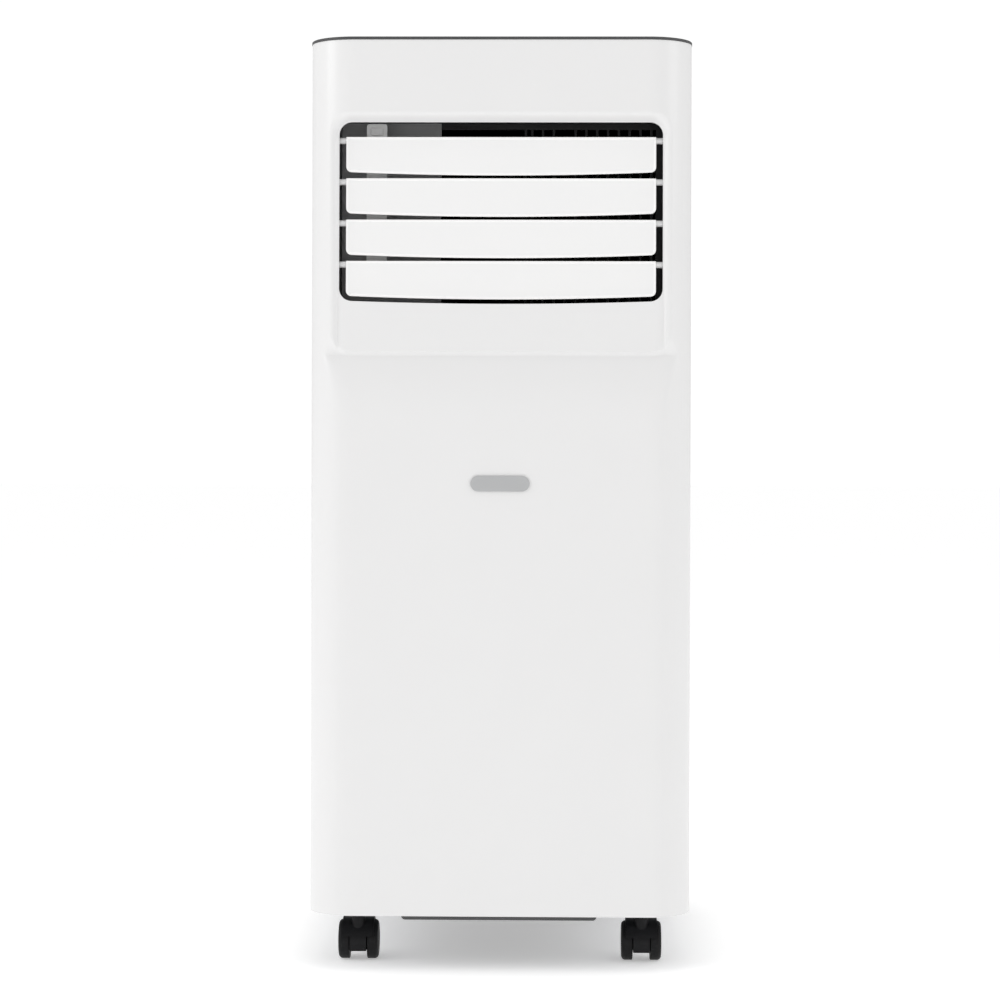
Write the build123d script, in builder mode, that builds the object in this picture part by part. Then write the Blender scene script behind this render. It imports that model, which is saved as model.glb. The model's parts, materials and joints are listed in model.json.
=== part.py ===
from build123d import *
import math
import os

# Portable air conditioner, a slim upright tower on four twin-wheel casters.
# Millimetres. X is to the right seen from the front, Y runs from front to back, Z is up.
# The origin is on the floor, under the middle of the bounding box.

os.makedirs("parts", exist_ok=True)

# ---- casing ---------------------------------------------------------------------------
TOTAL_W = 300.0
TOTAL_H = 727.4
TOTAL_D = 348.0
REAR_REACH = 12.0
TOP_OVERHANG = 0.4
BODY_W = TOTAL_W - 2 * TOP_OVERHANG
BODY_D = TOTAL_D - REAR_REACH - 2 * TOP_OVERHANG
FRONT_Y = TOP_OVERHANG - TOTAL_D / 2
BACK_Y = FRONT_Y + BODY_D
MID_Y = (FRONT_Y + BACK_Y) / 2
REAR_END_Y = TOTAL_D / 2
CORNER_R = 35.0
WALL = 2.5
SKIRT_Z = 43.5
CASING_TOP_Z = 725.0
CASING_H = CASING_TOP_Z - SKIRT_Z
ROOM_W = BODY_W - 2 * WALL
ROOM_D = BODY_D - 2 * WALL
ROOM_R = CORNER_R - WALL
ROOM_BACK_Y = BACK_Y - WALL
SEAM_Y = -100.0
SEAM_TONGUE = 6.0
TONGUE_T = 1.2
FIT_GAP = 0.5

# ---- front: louvre panel, its lip and the scoop under it ----------------------------------
LIP_Z = 482.5
LIP_DEPTH = 5.8
LIP_CORNER_R = 14.0
SCOOP_TOP_Z = 480.0
SCOOP_END_Z = 432.0
SCOOP_R = 143.0
SCOOP_DEPTH = SCOOP_R - math.sqrt(SCOOP_R**2 - (SCOOP_TOP_Z - SCOOP_END_Z) ** 2)
SCOOP_HORN_DEPTH = 4.3
PANEL_DEPTH = 8.2
RECESS_W = 263.0
RECESS_TOP_Z = 668.5
RECESS_R = 15.0
BEVEL = 5.5
OPENING_W = 252.0
OPENING_TOP_Z = 661.8
OPENING_BOTTOM_Z = 522.0
OPENING_BOW = 2.0
OPENING_R = 10.0
OPENING_MID_Z = (OPENING_TOP_Z + OPENING_BOTTOM_Z) / 2
OPENING_H = OPENING_TOP_Z - OPENING_BOTTOM_Z
PANEL_TILT = math.atan((PANEL_DEPTH - LIP_DEPTH) / (OPENING_TOP_Z - LIP_Z))

# ---- louvres ------------------------------------------------------------------------------
LOUVER_COUNT = 4
LOUVER_PITCH = 32.3
LOUVER_W = 242.0
LOUVER_ABOVE = 2.6
LOUVER_END_H = 27.4
LOUVER_MID_H = 30.0
LOUVER_T = 2.4
LOUVER_CORNER_R = 4.0
LOUVER_PIN_R = 2.5
LOUVER_EAR_T = 3.0
LOUVER_PIN_END = 129.2
PIVOT_TOP_Z = 647.8
PIVOT_DEPTH = 7.0
PLATE_AHEAD = 2.3
LINK_X = -98.0
LINK_W = 16.0
LINK_T = 2.0
LINK_ARM = 12.0
ARM_T = 2.0
ARM_H = 5.0
LINK_PIN_R = 1.5
LINK_KNUCKLE_R = 3.0
LINK_TOP_Z = 662.4
LINK_TAIL = 6.0
LINK_WINDOW = 6.0

# ---- outlet frame behind the opening ----------------------------------------------------------
FRAME_W = 262.0
FRAME_SIDE = 4.0
FRAME_WALL = 2.5
FRAME_TOP_Z = 668.0
FRAME_BOTTOM_Z = 514.0
FRAME_BACK_Y = -118.0
GUARD_Y = -126.0
GUARD_T = 3.0
GUARD_PITCH = 8.6
GUARD_FIRST_X = 24.0
GUARD_BARS = 12
GUARD_BAR_W = 2.0
GUARD_PLATE_END_X = -48.0
GUARD_POST_X = 19.0

# ---- casters ----------------------------------------------------------------------------------
CASTER_X = 112.5
CASTER_FRONT_Y = -124.0
CASTER_REAR_Y = 112.0
CASTER_TRAIL = 9.0
WHEEL_R = 15.5
WHEEL_IN = 6.9
WHEEL_OUT = 15.85
WHEEL_DOME = 2.4
FORK_TOP_Z = 33.4
FORK_HALF_W = 12.5
WEB_HALF_W = 6.5
FENDER_R = FORK_TOP_Z - WHEEL_R
FENDER_GAP = 0.6
WEB_LOW_Z = 8.0
AXLE_R = 2.0
AXLE_END = 14.0
COLLAR_R = 5.35
COLLAR_TOP_Z = 43.0
STEM_R = 4.0
STEM_TOP_Z = 70.0
SOCKET_R = 9.0
SOCKET_BOTTOM_Z = 43.6
SOCKET_TOP_Z = 74.0
RUN_GAP = 0.05

# ---- base ---------------------------------------------------------------------------------------
PAN_BOTTOM_Z = 50.0
PAN_FLOOR_T = 3.0
PAN_RIM_Z = 73.0
PAN_FLOOR_Z = PAN_BOTTOM_Z + PAN_FLOOR_T
PLATE_BOTTOM_Z = 39.4
PLATE_T = 2.8
PLATE_W = 148.0
PLATE_D = 270.0

# ---- rear of the casing ---------------------------------------------------------------------------
GRILLE_W = 224.0
UPPER_BOTTOM_Z = 441.0
UPPER_TOP_Z = 691.0
LOWER_BOTTOM_Z = 84.0
LOWER_TOP_Z = 234.0
GRILLE_R = 8.0
GRILLE_T = 3.5
GRILLE_RIM = 9.0
SLAT_PITCH = 8.0
SLAT_GAP_H = 4.6
LEDGE_T = 3.0
LEDGE_Y = BACK_Y - 7.0
FILTER_Y = BACK_Y - 12.0
FILTER_T = 3.0
FILTER_W = 208.0
EXHAUST_X = 45.0
EXHAUST_Z = 312.0
EXHAUST_R = 62.0
COLLAR_WALL = 3.0
COLLAR_START_Y = 150.0
COLLAR_FLANGE_R = 72.0
HOOK_X = -92.0
HOOK_ZS = (300.0, 390.0)
HOOK_W = 14.0
HOOK_T = 4.0
GLAND_X = -100.0
GLAND_Z = 256.0
GLAND_R = 4.1
GLAND_FLANGE_R = 9.0
UPPER_DRAIN = (0.0, 402.0)
LOWER_DRAIN = (-60.0, 62.5)
SPIGOT_R = 8.0
PLUG_R = 5.0
PLUG_HEAD_R = 8.5
PLUG_HEAD_T = 3.2
PLUG_DEPTH = 12.0
PLUG_GAP = 0.4
SCREW_X = 120.0
SCREW_ZS = (79.0, 250.0, 420.0, 706.0)
SCREW_HEAD_R = 3.4
SCREW_HEAD_T = 1.6
SCREW_R = 1.7
SCREW_L = 14.0

# ---- side handles -----------------------------------------------------------------------------------
HANDLE_Y = 6.0
HANDLE_Z = 605.0
HANDLE_W = 104.0
HANDLE_H = 32.0
HANDLE_R = 8.0
HANDLE_DEPTH = 22.0
HANDLE_WALL = 2.0
HANDLE_FLANGE = 3.0

# ---- top panel ----------------------------------------------------------------------------------------
TOP_T = TOTAL_H - CASING_TOP_Z
TOP_PLUG_H = 7.0
TOP_PLUG_T = 2.0
TOP_EDGE_R = 0.8
FASCIA_W = 196.0
FASCIA_D = 44.0
FASCIA_R = 8.0
FASCIA_Y = -128.0
FASCIA_DEPTH = 1.4
BUTTON_R = 6.5
BUTTON_GAP = 0.4
BUTTON_FLANGE_R = 8.2
BUTTON_FLANGE_T = 1.4
BUTTON_TOP_Z = TOTAL_H - 0.2
BUTTON_STEM_R = 2.0
BUTTON_STEM_Z = 721.0
BUTTONS = {"power": -78.0, "mode": -50.0, "fan": 34.0, "minus": 56.0, "plus": 78.0}
DISPLAY_W = 46.0
DISPLAY_D = 18.0
DISPLAY_X = -8.0
DISPLAY_R = 3.0
BOARD_Z = 715.0
BOARD_T = 1.6
SWITCH_W = 6.0
SWITCH_TOP_Z = 719.6
BADGE_Z = 380.0
BADGE_W = 46.0
BADGE_H = 12.0
BADGE_T = 0.4

# ---- fans, ducts and coils --------------------------------------------------------------------------------
BLOWER_X = 0.0
BLOWER_Z = 468.0
BLOWER_R = 68.0
BLOWER_FRONT_Y = -54.0
BLOWER_BACK_Y = -10.0
CONDENSER_X = 34.0
CONDENSER_Z = 178.0
CONDENSER_R = 76.0
CONDENSER_FRONT_Y = 14.0
CONDENSER_BACK_Y = 62.0
SCROLL_GAP = 10.0
SCROLL_WALL = 2.5
SCROLL_SIDE_GAP = 4.0
THROAT_W = 96.0
THROAT_X = 30.0
DUCT_WINDOW_W = 88.0
DUCT_WINDOW_H = 96.0
DUCT_WINDOW_Z = 611.0
BLADE_COUNT = 32
BLADE_T = 1.2
BLADE_DEPTH = 12.0
HUB_R = 9.0
SHAFT_R = 4.0
MOTOR_L = 38.0
BLOWER_MOTOR_R = 34.0
CONDENSER_MOTOR_R = 38.0
COIL_W = 224.0
COIL_T = 38.0
COIL_Y = 118.0
COIL_PLATE_T = 1.5
COIL_TUBE_R = 4.5
TRAY_Z = 380.0
TRAY_T = 3.0
TRAY_RIM_Z = 412.0
TRAY_LEFT_X = -112.0
TRAY_FRONT_Y = -72.0

# ---- compressor and electrics -----------------------------------------------------------------------------
COMPRESSOR_X = -72.0
COMPRESSOR_Y = -58.0
COMPRESSOR_R = 56.0
COMPRESSOR_LOW_Z = 80.0
COMPRESSOR_TOP_Z = 280.0
COMPRESSOR_DOME_R = 22.0
COMPRESSOR_FOOT_R = 64.0
COMPRESSOR_FOOT_T = 3.0
GROMMET_R = 8.0
ACCUMULATOR_X = 6.0
ACCUMULATOR_Y = -88.0
ACCUMULATOR_R = 20.0
ACCUMULATOR_LOW_Z = 118.0
ACCUMULATOR_TOP_Z = 236.0
PIPE_R = 4.0
PIPE_BEND_R = 8.0
CONTROL_X = 84.0
CONTROL_W = 92.0
CONTROL_LOW_Z = 96.0
CONTROL_TOP_Z = 262.0
CONTROL_FRONT_Y = -164.0
CONTROL_BACK_Y = -116.0
CAPACITOR_R = 17.0

FRONT_FACE = Plane.XZ.offset(-FRONT_Y)
PANEL_PLANE = Plane(
    origin=(0, FRONT_Y + LIP_DEPTH, LIP_Z),
    x_dir=(1, 0, 0),
    z_dir=(0, -math.cos(PANEL_TILT), math.sin(PANEL_TILT)),
)


def panel_depth(z):
    """How far the tilted louvre panel lies behind the front plane at height z."""
    return LIP_DEPTH + (z - LIP_Z) * math.tan(PANEL_TILT)


def facing_back(y):
    """A sketch plane at depth y: local x is +X, local y is +Z, and extrusions run forward."""
    return Plane.XZ.offset(-y)


def write(part, label):
    """Labels a finished piece and writes it to its own STEP file."""
    part.label = label
    export_step(part, f"parts/{label}.step")


# ---- outer shells --------------------------------------------------------------------------
# The room inside the casing: the rounded box less its walls, and less a wall behind the panel.
with BuildPart() as cavity:
    with BuildSketch(Plane(origin=(0, MID_Y, SKIRT_Z))):
        RectangleRounded(ROOM_W, ROOM_D, ROOM_R)
    extrude(amount=CASING_H)

with BuildPart() as panel_backing:
    with BuildSketch(FRONT_FACE):
        with Locations((0, (RECESS_TOP_Z + LIP_Z) / 2)):
            RectangleRounded(RECESS_W + 2 * WALL, RECESS_TOP_Z - LIP_Z + 6 * WALL, RECESS_R)
    extrude(amount=-(PANEL_DEPTH + 3 * WALL))
    split(bisect_by=PANEL_PLANE.offset(-WALL), keep=Keep.TOP)

with BuildPart() as scoop_backing:
    with BuildSketch(Plane.YZ):
        with BuildLine():
            Polyline(
                (FRONT_Y, SCOOP_END_Z - 8 * WALL),
                (FRONT_Y + SCOOP_DEPTH + WALL, SCOOP_TOP_Z),
                (FRONT_Y + SCOOP_DEPTH + WALL, LIP_Z + LIP_CORNER_R + WALL),
                (FRONT_Y, LIP_Z + LIP_CORNER_R + WALL),
                close=True,
            )
        make_face()
    extrude(amount=BODY_W / 2 - WALL, both=True)

# What is cut away to sink the louvre panel: bevelled walls down to the tilted floor.
with BuildPart() as panel_recess:
    with BuildSketch(FRONT_FACE):
        with Locations((0, (RECESS_TOP_Z + LIP_Z) / 2)):
            RectangleRounded(RECESS_W, RECESS_TOP_Z - LIP_Z, RECESS_R)
    with BuildSketch(facing_back(FRONT_Y + PANEL_DEPTH)):
        with Locations((0, (RECESS_TOP_Z + LIP_Z) / 2)):
            RectangleRounded(
                RECESS_W - 2 * BEVEL, RECESS_TOP_Z - LIP_Z - 2 * BEVEL, RECESS_R - BEVEL / 2
            )
    loft()
    split(bisect_by=PANEL_PLANE, keep=Keep.TOP)

# The scoop under the lip, where the lower front curves back to tuck under the louvre panel and
# comes forward again beside the lip's round corners.
with BuildPart() as lip_scoop:
    scoop_mid_z = (SCOOP_TOP_Z + SCOOP_END_Z) / 2
    scoop_mid_depth = SCOOP_R - math.sqrt(SCOOP_R**2 - (scoop_mid_z - SCOOP_END_Z) ** 2)
    horn_z = LIP_Z + LIP_CORNER_R
    with BuildSketch(Plane.YZ):
        with BuildLine():
            ThreePointArc(
                (FRONT_Y, SCOOP_END_Z),
                (FRONT_Y + scoop_mid_depth, scoop_mid_z),
                (FRONT_Y + SCOOP_DEPTH, SCOOP_TOP_Z),
            )
            ThreePointArc(
                (FRONT_Y + SCOOP_DEPTH, SCOOP_TOP_Z),
                (FRONT_Y + SCOOP_DEPTH - 0.7, (SCOOP_TOP_Z + horn_z) / 2),
                (FRONT_Y + SCOOP_HORN_DEPTH, horn_z),
            )
            Polyline(
                (FRONT_Y + SCOOP_HORN_DEPTH, horn_z),
                (FRONT_Y - 1, horn_z),
                (FRONT_Y - 1, SCOOP_END_Z),
                (FRONT_Y, SCOOP_END_Z),
            )
        make_face()
    extrude(amount=BODY_W / 2, both=True)
    with BuildSketch(FRONT_FACE.offset(2)):
        with Locations((0, (RECESS_TOP_Z + LIP_Z) / 2)):
            RectangleRounded(RECESS_W, RECESS_TOP_Z - LIP_Z, LIP_CORNER_R)
    extrude(amount=-(SCOOP_DEPTH + 4), mode=Mode.SUBTRACT)


def opening_outline():
    """Adds the outlet opening's outline, whose lower edge bows down, to the sketch in progress."""
    half = OPENING_W / 2
    with Locations((0, OPENING_MID_Z)):
        RectangleRounded(OPENING_W, OPENING_H, OPENING_R)
    with BuildLine() as bow:
        low = half - OPENING_R
        ThreePointArc((-low, OPENING_BOTTOM_Z), (0, OPENING_BOTTOM_Z - OPENING_BOW), (low, OPENING_BOTTOM_Z))
        Line((low, OPENING_BOTTOM_Z), (-low, OPENING_BOTTOM_Z))
    make_face(bow.edges())


def disc_up(x, y, radius, z_from, z_to, mode=Mode.ADD):
    """Adds or cuts an upright cylinder."""
    with BuildSketch(Plane.XY.offset(z_from)) as outline:
        with Locations((x, y)):
            Circle(radius)
    extrude(outline.sketch, amount=z_to - z_from, mode=mode)


def disc_back(x, z, radius, y_from, y_to, mode=Mode.ADD):
    """Adds or cuts a cylinder that lies along Y."""
    with BuildSketch(facing_back(y_from)) as outline:
        with Locations((x, z)):
            Circle(radius)
    extrude(outline.sketch, amount=y_from - y_to, mode=mode)


def disc_across(y, z, radius, x_from, x_to, mode=Mode.ADD):
    """Adds or cuts a cylinder that lies along X."""
    with BuildSketch(Plane.YZ.offset(x_from)) as outline:
        with Locations((y, z)):
            Circle(radius)
    extrude(outline.sketch, amount=x_to - x_from, mode=mode)


def plate_back(x, z, width, height, radius, y_from, y_to, mode=Mode.ADD):
    """Adds or cuts an upright plate with rounded corners that faces along Y."""
    with BuildSketch(facing_back(y_from)) as outline:
        with Locations((x, z)):
            RectangleRounded(width, height, radius)
    extrude(outline.sketch, amount=y_from - y_to, mode=mode)


def plate_up(x, y, width, depth, radius, z_from, z_to, mode=Mode.ADD):
    """Adds or cuts a level plate with rounded corners."""
    with BuildSketch(Plane.XY.offset(z_from)) as outline:
        with Locations((x, y)):
            RectangleRounded(width, depth, radius)
    extrude(outline.sketch, amount=z_to - z_from, mode=mode)


def block(x_from, x_to, y_from, y_to, z_from, z_to, mode=Mode.ADD):
    """Adds or cuts a plain block between two corners."""
    with BuildSketch(Plane.XY.offset(z_from)) as outline:
        with Locations(((x_from + x_to) / 2, (y_from + y_to) / 2)):
            Rectangle(x_to - x_from, y_to - y_from)
    extrude(outline.sketch, amount=z_to - z_from, mode=mode)


with BuildPart() as front_cover:
    plate_up(0, MID_Y, BODY_W, BODY_D, CORNER_R, SKIRT_Z, CASING_TOP_Z)
    add(cavity.part - panel_backing.part - scoop_backing.part, mode=Mode.SUBTRACT)
    split(bisect_by=Plane.XZ.offset(-SEAM_Y), keep=Keep.TOP)
    add(panel_recess.part, mode=Mode.SUBTRACT)
    add(lip_scoop.part, mode=Mode.SUBTRACT)
    with BuildSketch(FRONT_FACE.offset(2)):
        opening_outline()
    extrude(amount=-30, mode=Mode.SUBTRACT)
write(front_cover.part, "front_cover")

# The tongue that the front cover slides over.
with BuildPart() as seam_tongue:
    plate_up(0, MID_Y, ROOM_W, ROOM_D, ROOM_R, SKIRT_Z, CASING_TOP_Z - TOP_PLUG_H)
    plate_up(
        0, MID_Y, ROOM_W - 2 * TONGUE_T, ROOM_D - 2 * TONGUE_T, ROOM_R - TONGUE_T,
        SKIRT_Z, CASING_TOP_Z, Mode.SUBTRACT,
    )
    block(-BODY_W, BODY_W, FRONT_Y, SEAM_Y - SEAM_TONGUE, SKIRT_Z, CASING_TOP_Z, Mode.SUBTRACT)
    block(-BODY_W, BODY_W, SEAM_Y + SEAM_TONGUE, BACK_Y, SKIRT_Z, CASING_TOP_Z, Mode.SUBTRACT)
    block(-BODY_W, BODY_W, FRONT_Y, BACK_Y, SKIRT_Z, PAN_RIM_Z, Mode.SUBTRACT)

with BuildPart() as rear_cover:
    plate_up(0, MID_Y, BODY_W, BODY_D, CORNER_R, SKIRT_Z, CASING_TOP_Z)
    add(cavity.part, mode=Mode.SUBTRACT)
    split(bisect_by=Plane.XZ.offset(-SEAM_Y), keep=Keep.BOTTOM)
    add(seam_tongue.part)
    for low_z, high_z in ((LOWER_BOTTOM_Z, LOWER_TOP_Z), (UPPER_BOTTOM_Z, UPPER_TOP_Z)):
        mid_z = (low_z + high_z) / 2
        tall = high_z - low_z
        frame_w = GRILLE_W + 2 * LEDGE_T + 2 * FIT_GAP
        plate_back(0, mid_z, frame_w, tall + 2 * LEDGE_T + 2 * FIT_GAP, GRILLE_R, LEDGE_Y, BACK_Y)
        plate_back(
            0, mid_z, GRILLE_W - 2 * LEDGE_T, tall - 2 * LEDGE_T, GRILLE_R,
            LEDGE_Y, BACK_Y, Mode.SUBTRACT,
        )
        plate_back(
            0, mid_z, GRILLE_W + 2 * FIT_GAP, tall + 2 * FIT_GAP, GRILLE_R,
            LEDGE_Y + LEDGE_T, BACK_Y, Mode.SUBTRACT,
        )
    disc_back(EXHAUST_X, EXHAUST_Z, EXHAUST_R + COLLAR_WALL, ROOM_BACK_Y - 1, BACK_Y, Mode.SUBTRACT)
    disc_back(GLAND_X, GLAND_Z, GLAND_R + 2, ROOM_BACK_Y - 1, BACK_Y, Mode.SUBTRACT)
    for drain_x, drain_z in (UPPER_DRAIN, LOWER_DRAIN):
        disc_back(drain_x, drain_z, SPIGOT_R, ROOM_BACK_Y - 1, BACK_Y, Mode.SUBTRACT)
    for screw_z in SCREW_ZS:
        for screw_x in (-SCREW_X, SCREW_X):
            disc_back(screw_x, screw_z, SCREW_HEAD_R, BACK_Y - SCREW_HEAD_T, BACK_Y, Mode.SUBTRACT)
            disc_back(screw_x, screw_z, SCREW_R, ROOM_BACK_Y - 1, BACK_Y, Mode.SUBTRACT)
    with BuildSketch(Plane.YZ.offset(-BODY_W)):
        with Locations((HANDLE_Y, HANDLE_Z)):
            RectangleRounded(HANDLE_W, HANDLE_H, HANDLE_R)
    extrude(amount=2 * BODY_W, mode=Mode.SUBTRACT)
write(rear_cover.part, "rear_cover")

with BuildPart() as cover_screws:
    for screw_z in SCREW_ZS:
        for screw_x in (-SCREW_X, SCREW_X):
            disc_back(screw_x, screw_z, SCREW_HEAD_R, BACK_Y - SCREW_HEAD_T, BACK_Y - 0.6)
            disc_back(screw_x, screw_z, SCREW_R, BACK_Y - SCREW_L, BACK_Y - SCREW_HEAD_T)
write(cover_screws.part, "cover_screws")


# ---- side handles: cups sunk into the rear cover's side walls ---------------------------------
def handle_cup(side):
    """One cup, open outwards, on the side given as -1 or 1."""
    outer_x = side * BODY_W / 2
    inner_x = outer_x - side * HANDLE_DEPTH
    with BuildPart() as cup:
        with BuildSketch(Plane.YZ.offset(inner_x)):
            with Locations((HANDLE_Y, HANDLE_Z)):
                RectangleRounded(HANDLE_W, HANDLE_H, HANDLE_R)
        extrude(amount=outer_x - inner_x)
        with BuildSketch(Plane.YZ.offset(inner_x)):
            with Locations((HANDLE_Y, HANDLE_Z)):
                RectangleRounded(HANDLE_W + 2 * HANDLE_FLANGE, HANDLE_H + 2 * HANDLE_FLANGE, HANDLE_R)
        extrude(amount=side * (HANDLE_DEPTH - WALL))
        with BuildSketch(Plane.YZ.offset(inner_x + side * HANDLE_WALL)):
            with Locations((HANDLE_Y, HANDLE_Z)):
                RectangleRounded(
                    HANDLE_W - 2 * HANDLE_WALL, HANDLE_H - 2 * HANDLE_WALL, HANDLE_R - HANDLE_WALL
                )
        extrude(amount=side * HANDLE_DEPTH, mode=Mode.SUBTRACT)
    return cup.part


write(handle_cup(-1), "left_handle")
write(handle_cup(1), "right_handle")

# ---- top cover, its control fascia and the five keys --------------------------------------------
with BuildPart() as top_cover:
    plate_up(
        0, MID_Y, TOTAL_W, TOTAL_D - REAR_REACH, CORNER_R + TOP_OVERHANG, CASING_TOP_Z, TOTAL_H
    )
    fillet(top_cover.faces().sort_by(Axis.Z)[-1].edges(), TOP_EDGE_R)
    plate_up(0, MID_Y, ROOM_W, ROOM_D, ROOM_R, CASING_TOP_Z - TOP_PLUG_H, CASING_TOP_Z)
    plate_up(
        0, MID_Y, ROOM_W - 2 * TOP_PLUG_T, ROOM_D - 2 * TOP_PLUG_T, ROOM_R - TOP_PLUG_T,
        CASING_TOP_Z - TOP_PLUG_H, CASING_TOP_Z, Mode.SUBTRACT,
    )
    for post_x in (-88, 90):
        for post_y in (-16, 16):
            disc_up(post_x, FASCIA_Y + post_y, 3, BOARD_Z + BOARD_T, CASING_TOP_Z)
    plate_up(
        0, FASCIA_Y, FASCIA_W, FASCIA_D, FASCIA_R, TOTAL_H - FASCIA_DEPTH, TOTAL_H, Mode.SUBTRACT
    )
    for key_x in BUTTONS.values():
        disc_up(key_x, FASCIA_Y, BUTTON_R + BUTTON_GAP, CASING_TOP_Z - 1, TOTAL_H, Mode.SUBTRACT)
write(top_cover.part, "top_cover")

with BuildPart() as control_fascia:
    plate_up(0, FASCIA_Y, FASCIA_W, FASCIA_D, FASCIA_R, TOTAL_H - FASCIA_DEPTH, TOTAL_H)
    plate_up(
        DISPLAY_X, FASCIA_Y, DISPLAY_W, DISPLAY_D, DISPLAY_R,
        TOTAL_H - FASCIA_DEPTH, TOTAL_H, Mode.SUBTRACT,
    )
    for key_x in BUTTONS.values():
        disc_up(key_x, FASCIA_Y, BUTTON_R + BUTTON_GAP, TOTAL_H - FASCIA_DEPTH, TOTAL_H, Mode.SUBTRACT)
write(control_fascia.part, "control_fascia")

with BuildPart() as display_window:
    plate_up(
        DISPLAY_X, FASCIA_Y, DISPLAY_W, DISPLAY_D, DISPLAY_R,
        TOTAL_H - FASCIA_DEPTH, TOTAL_H - 0.2,
    )
write(display_window.part, "display_window")

with BuildPart() as key_board:
    plate_up(0, FASCIA_Y, FASCIA_W - 8, FASCIA_D, 2, BOARD_Z, BOARD_Z + BOARD_T)
    for key_x in BUTTONS.values():
        plate_up(key_x, FASCIA_Y, SWITCH_W, SWITCH_W, 0.5, BOARD_Z + BOARD_T, SWITCH_TOP_Z)
write(key_board.part, "key_board")

for key_name, key_x in BUTTONS.items():
    with BuildPart() as key:
        disc_up(key_x, FASCIA_Y, BUTTON_R, CASING_TOP_Z - BUTTON_GAP - BUTTON_FLANGE_T, BUTTON_TOP_Z)
        fillet(key.faces().sort_by(Axis.Z)[-1].edges(), 0.6)
        disc_up(
            key_x, FASCIA_Y, BUTTON_FLANGE_R,
            CASING_TOP_Z - BUTTON_GAP - BUTTON_FLANGE_T, CASING_TOP_Z - BUTTON_GAP,
        )
        disc_up(key_x, FASCIA_Y, BUTTON_STEM_R, BUTTON_STEM_Z, CASING_TOP_Z - BUTTON_GAP)
    write(key.part, f"{key_name}_button")

# A plain pill-shaped badge with nothing on it.
with BuildPart() as badge:
    plate_back(0, BADGE_Z, BADGE_W, BADGE_H, BADGE_H / 2 - 0.1, FRONT_Y - BADGE_T, FRONT_Y)
write(badge.part, "badge")


# ---- louvres, their link and the frame that carries them ------------------------------------------
def pivot_of(index):
    """The (y, z) of the pivot of a louvre, counted from the top."""
    z = PIVOT_TOP_Z - index * LOUVER_PITCH
    return FRONT_Y + panel_depth(z) + PIVOT_DEPTH, z


def louver(index):
    """One louvre: a plate with a bowed lower edge, two end pins and two arms for the link."""
    y, z = pivot_of(index)
    plate_plane = Plane(origin=(0, y, z), x_dir=(1, 0, 0), z_dir=PANEL_PLANE.z_dir)
    half = LOUVER_W / 2
    low_end = LOUVER_ABOVE - LOUVER_END_H
    low_mid = LOUVER_ABOVE - LOUVER_MID_H
    root_y = y - PLATE_AHEAD - LOUVER_T / 2
    with BuildPart() as blade:
        with BuildSketch(plate_plane.offset(PLATE_AHEAD)) as outline:
            with BuildLine():
                Polyline((-half, low_end), (-half, LOUVER_ABOVE), (half, LOUVER_ABOVE), (half, low_end))
                ThreePointArc((half, low_end), (0, low_mid), (-half, low_end))
            make_face()
            fillet(outline.vertices().group_by(Axis.Y)[0], LOUVER_CORNER_R)
        extrude(amount=LOUVER_T)
        for side in (-1, 1):
            ear_x = side * (half - LOUVER_EAR_T)
            block(
                min(ear_x, side * half), max(ear_x, side * half),
                root_y, y, z - LOUVER_PIN_R, z + LOUVER_PIN_R,
            )
            disc_across(y, z, LOUVER_PIN_R, ear_x, side * LOUVER_PIN_END)
            arm_x = LINK_X + side * (LINK_W / 2 + FIT_GAP)
            arm_far_x = arm_x + side * ARM_T
            block(
                min(arm_x, arm_far_x), max(arm_x, arm_far_x),
                root_y, y + LINK_ARM, z - ARM_H / 2, z + ARM_H / 2,
            )
            disc_across(y + LINK_ARM, z, ARM_H / 2, arm_x, arm_far_x)
        reach = LINK_W / 2 + FIT_GAP + ARM_T
        disc_across(y + LINK_ARM, z, LINK_PIN_R, LINK_X - reach, LINK_X + reach)
    return blade.part


for louver_index in range(LOUVER_COUNT):
    write(louver(louver_index), f"louver_{louver_index + 1}")

with BuildPart() as louver_link:
    last_y, last_z = pivot_of(LOUVER_COUNT - 1)
    link_plane = Plane(
        origin=(LINK_X, last_y + LINK_ARM, last_z), x_dir=(1, 0, 0), z_dir=PANEL_PLANE.z_dir
    )
    link_reach = (LINK_TOP_Z - last_z) / math.cos(PANEL_TILT)
    with BuildSketch(link_plane):
        with Locations((0, (link_reach - LINK_TAIL) / 2)):
            RectangleRounded(LINK_W, link_reach + LINK_TAIL, 2)
        with Locations((0, link_reach - LINK_WINDOW)):
            RectangleRounded(LINK_W - 2 * 3, LINK_WINDOW, 1, mode=Mode.SUBTRACT)
    extrude(amount=LINK_T / 2, both=True)
    for louver_index in range(LOUVER_COUNT):
        pin_y, pin_z = pivot_of(louver_index)
        disc_across(pin_y + LINK_ARM, pin_z, LINK_KNUCKLE_R, LINK_X - LINK_W / 2, LINK_X + LINK_W / 2)
    for louver_index in range(LOUVER_COUNT):
        pin_y, pin_z = pivot_of(louver_index)
        bore_gap = RUN_GAP if louver_index == 0 else 2 * RUN_GAP
        disc_across(
            pin_y + LINK_ARM, pin_z, LINK_PIN_R + bore_gap,
            LINK_X - LINK_W, LINK_X + LINK_W, Mode.SUBTRACT,
        )
write(louver_link.part, "louver_link")

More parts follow.
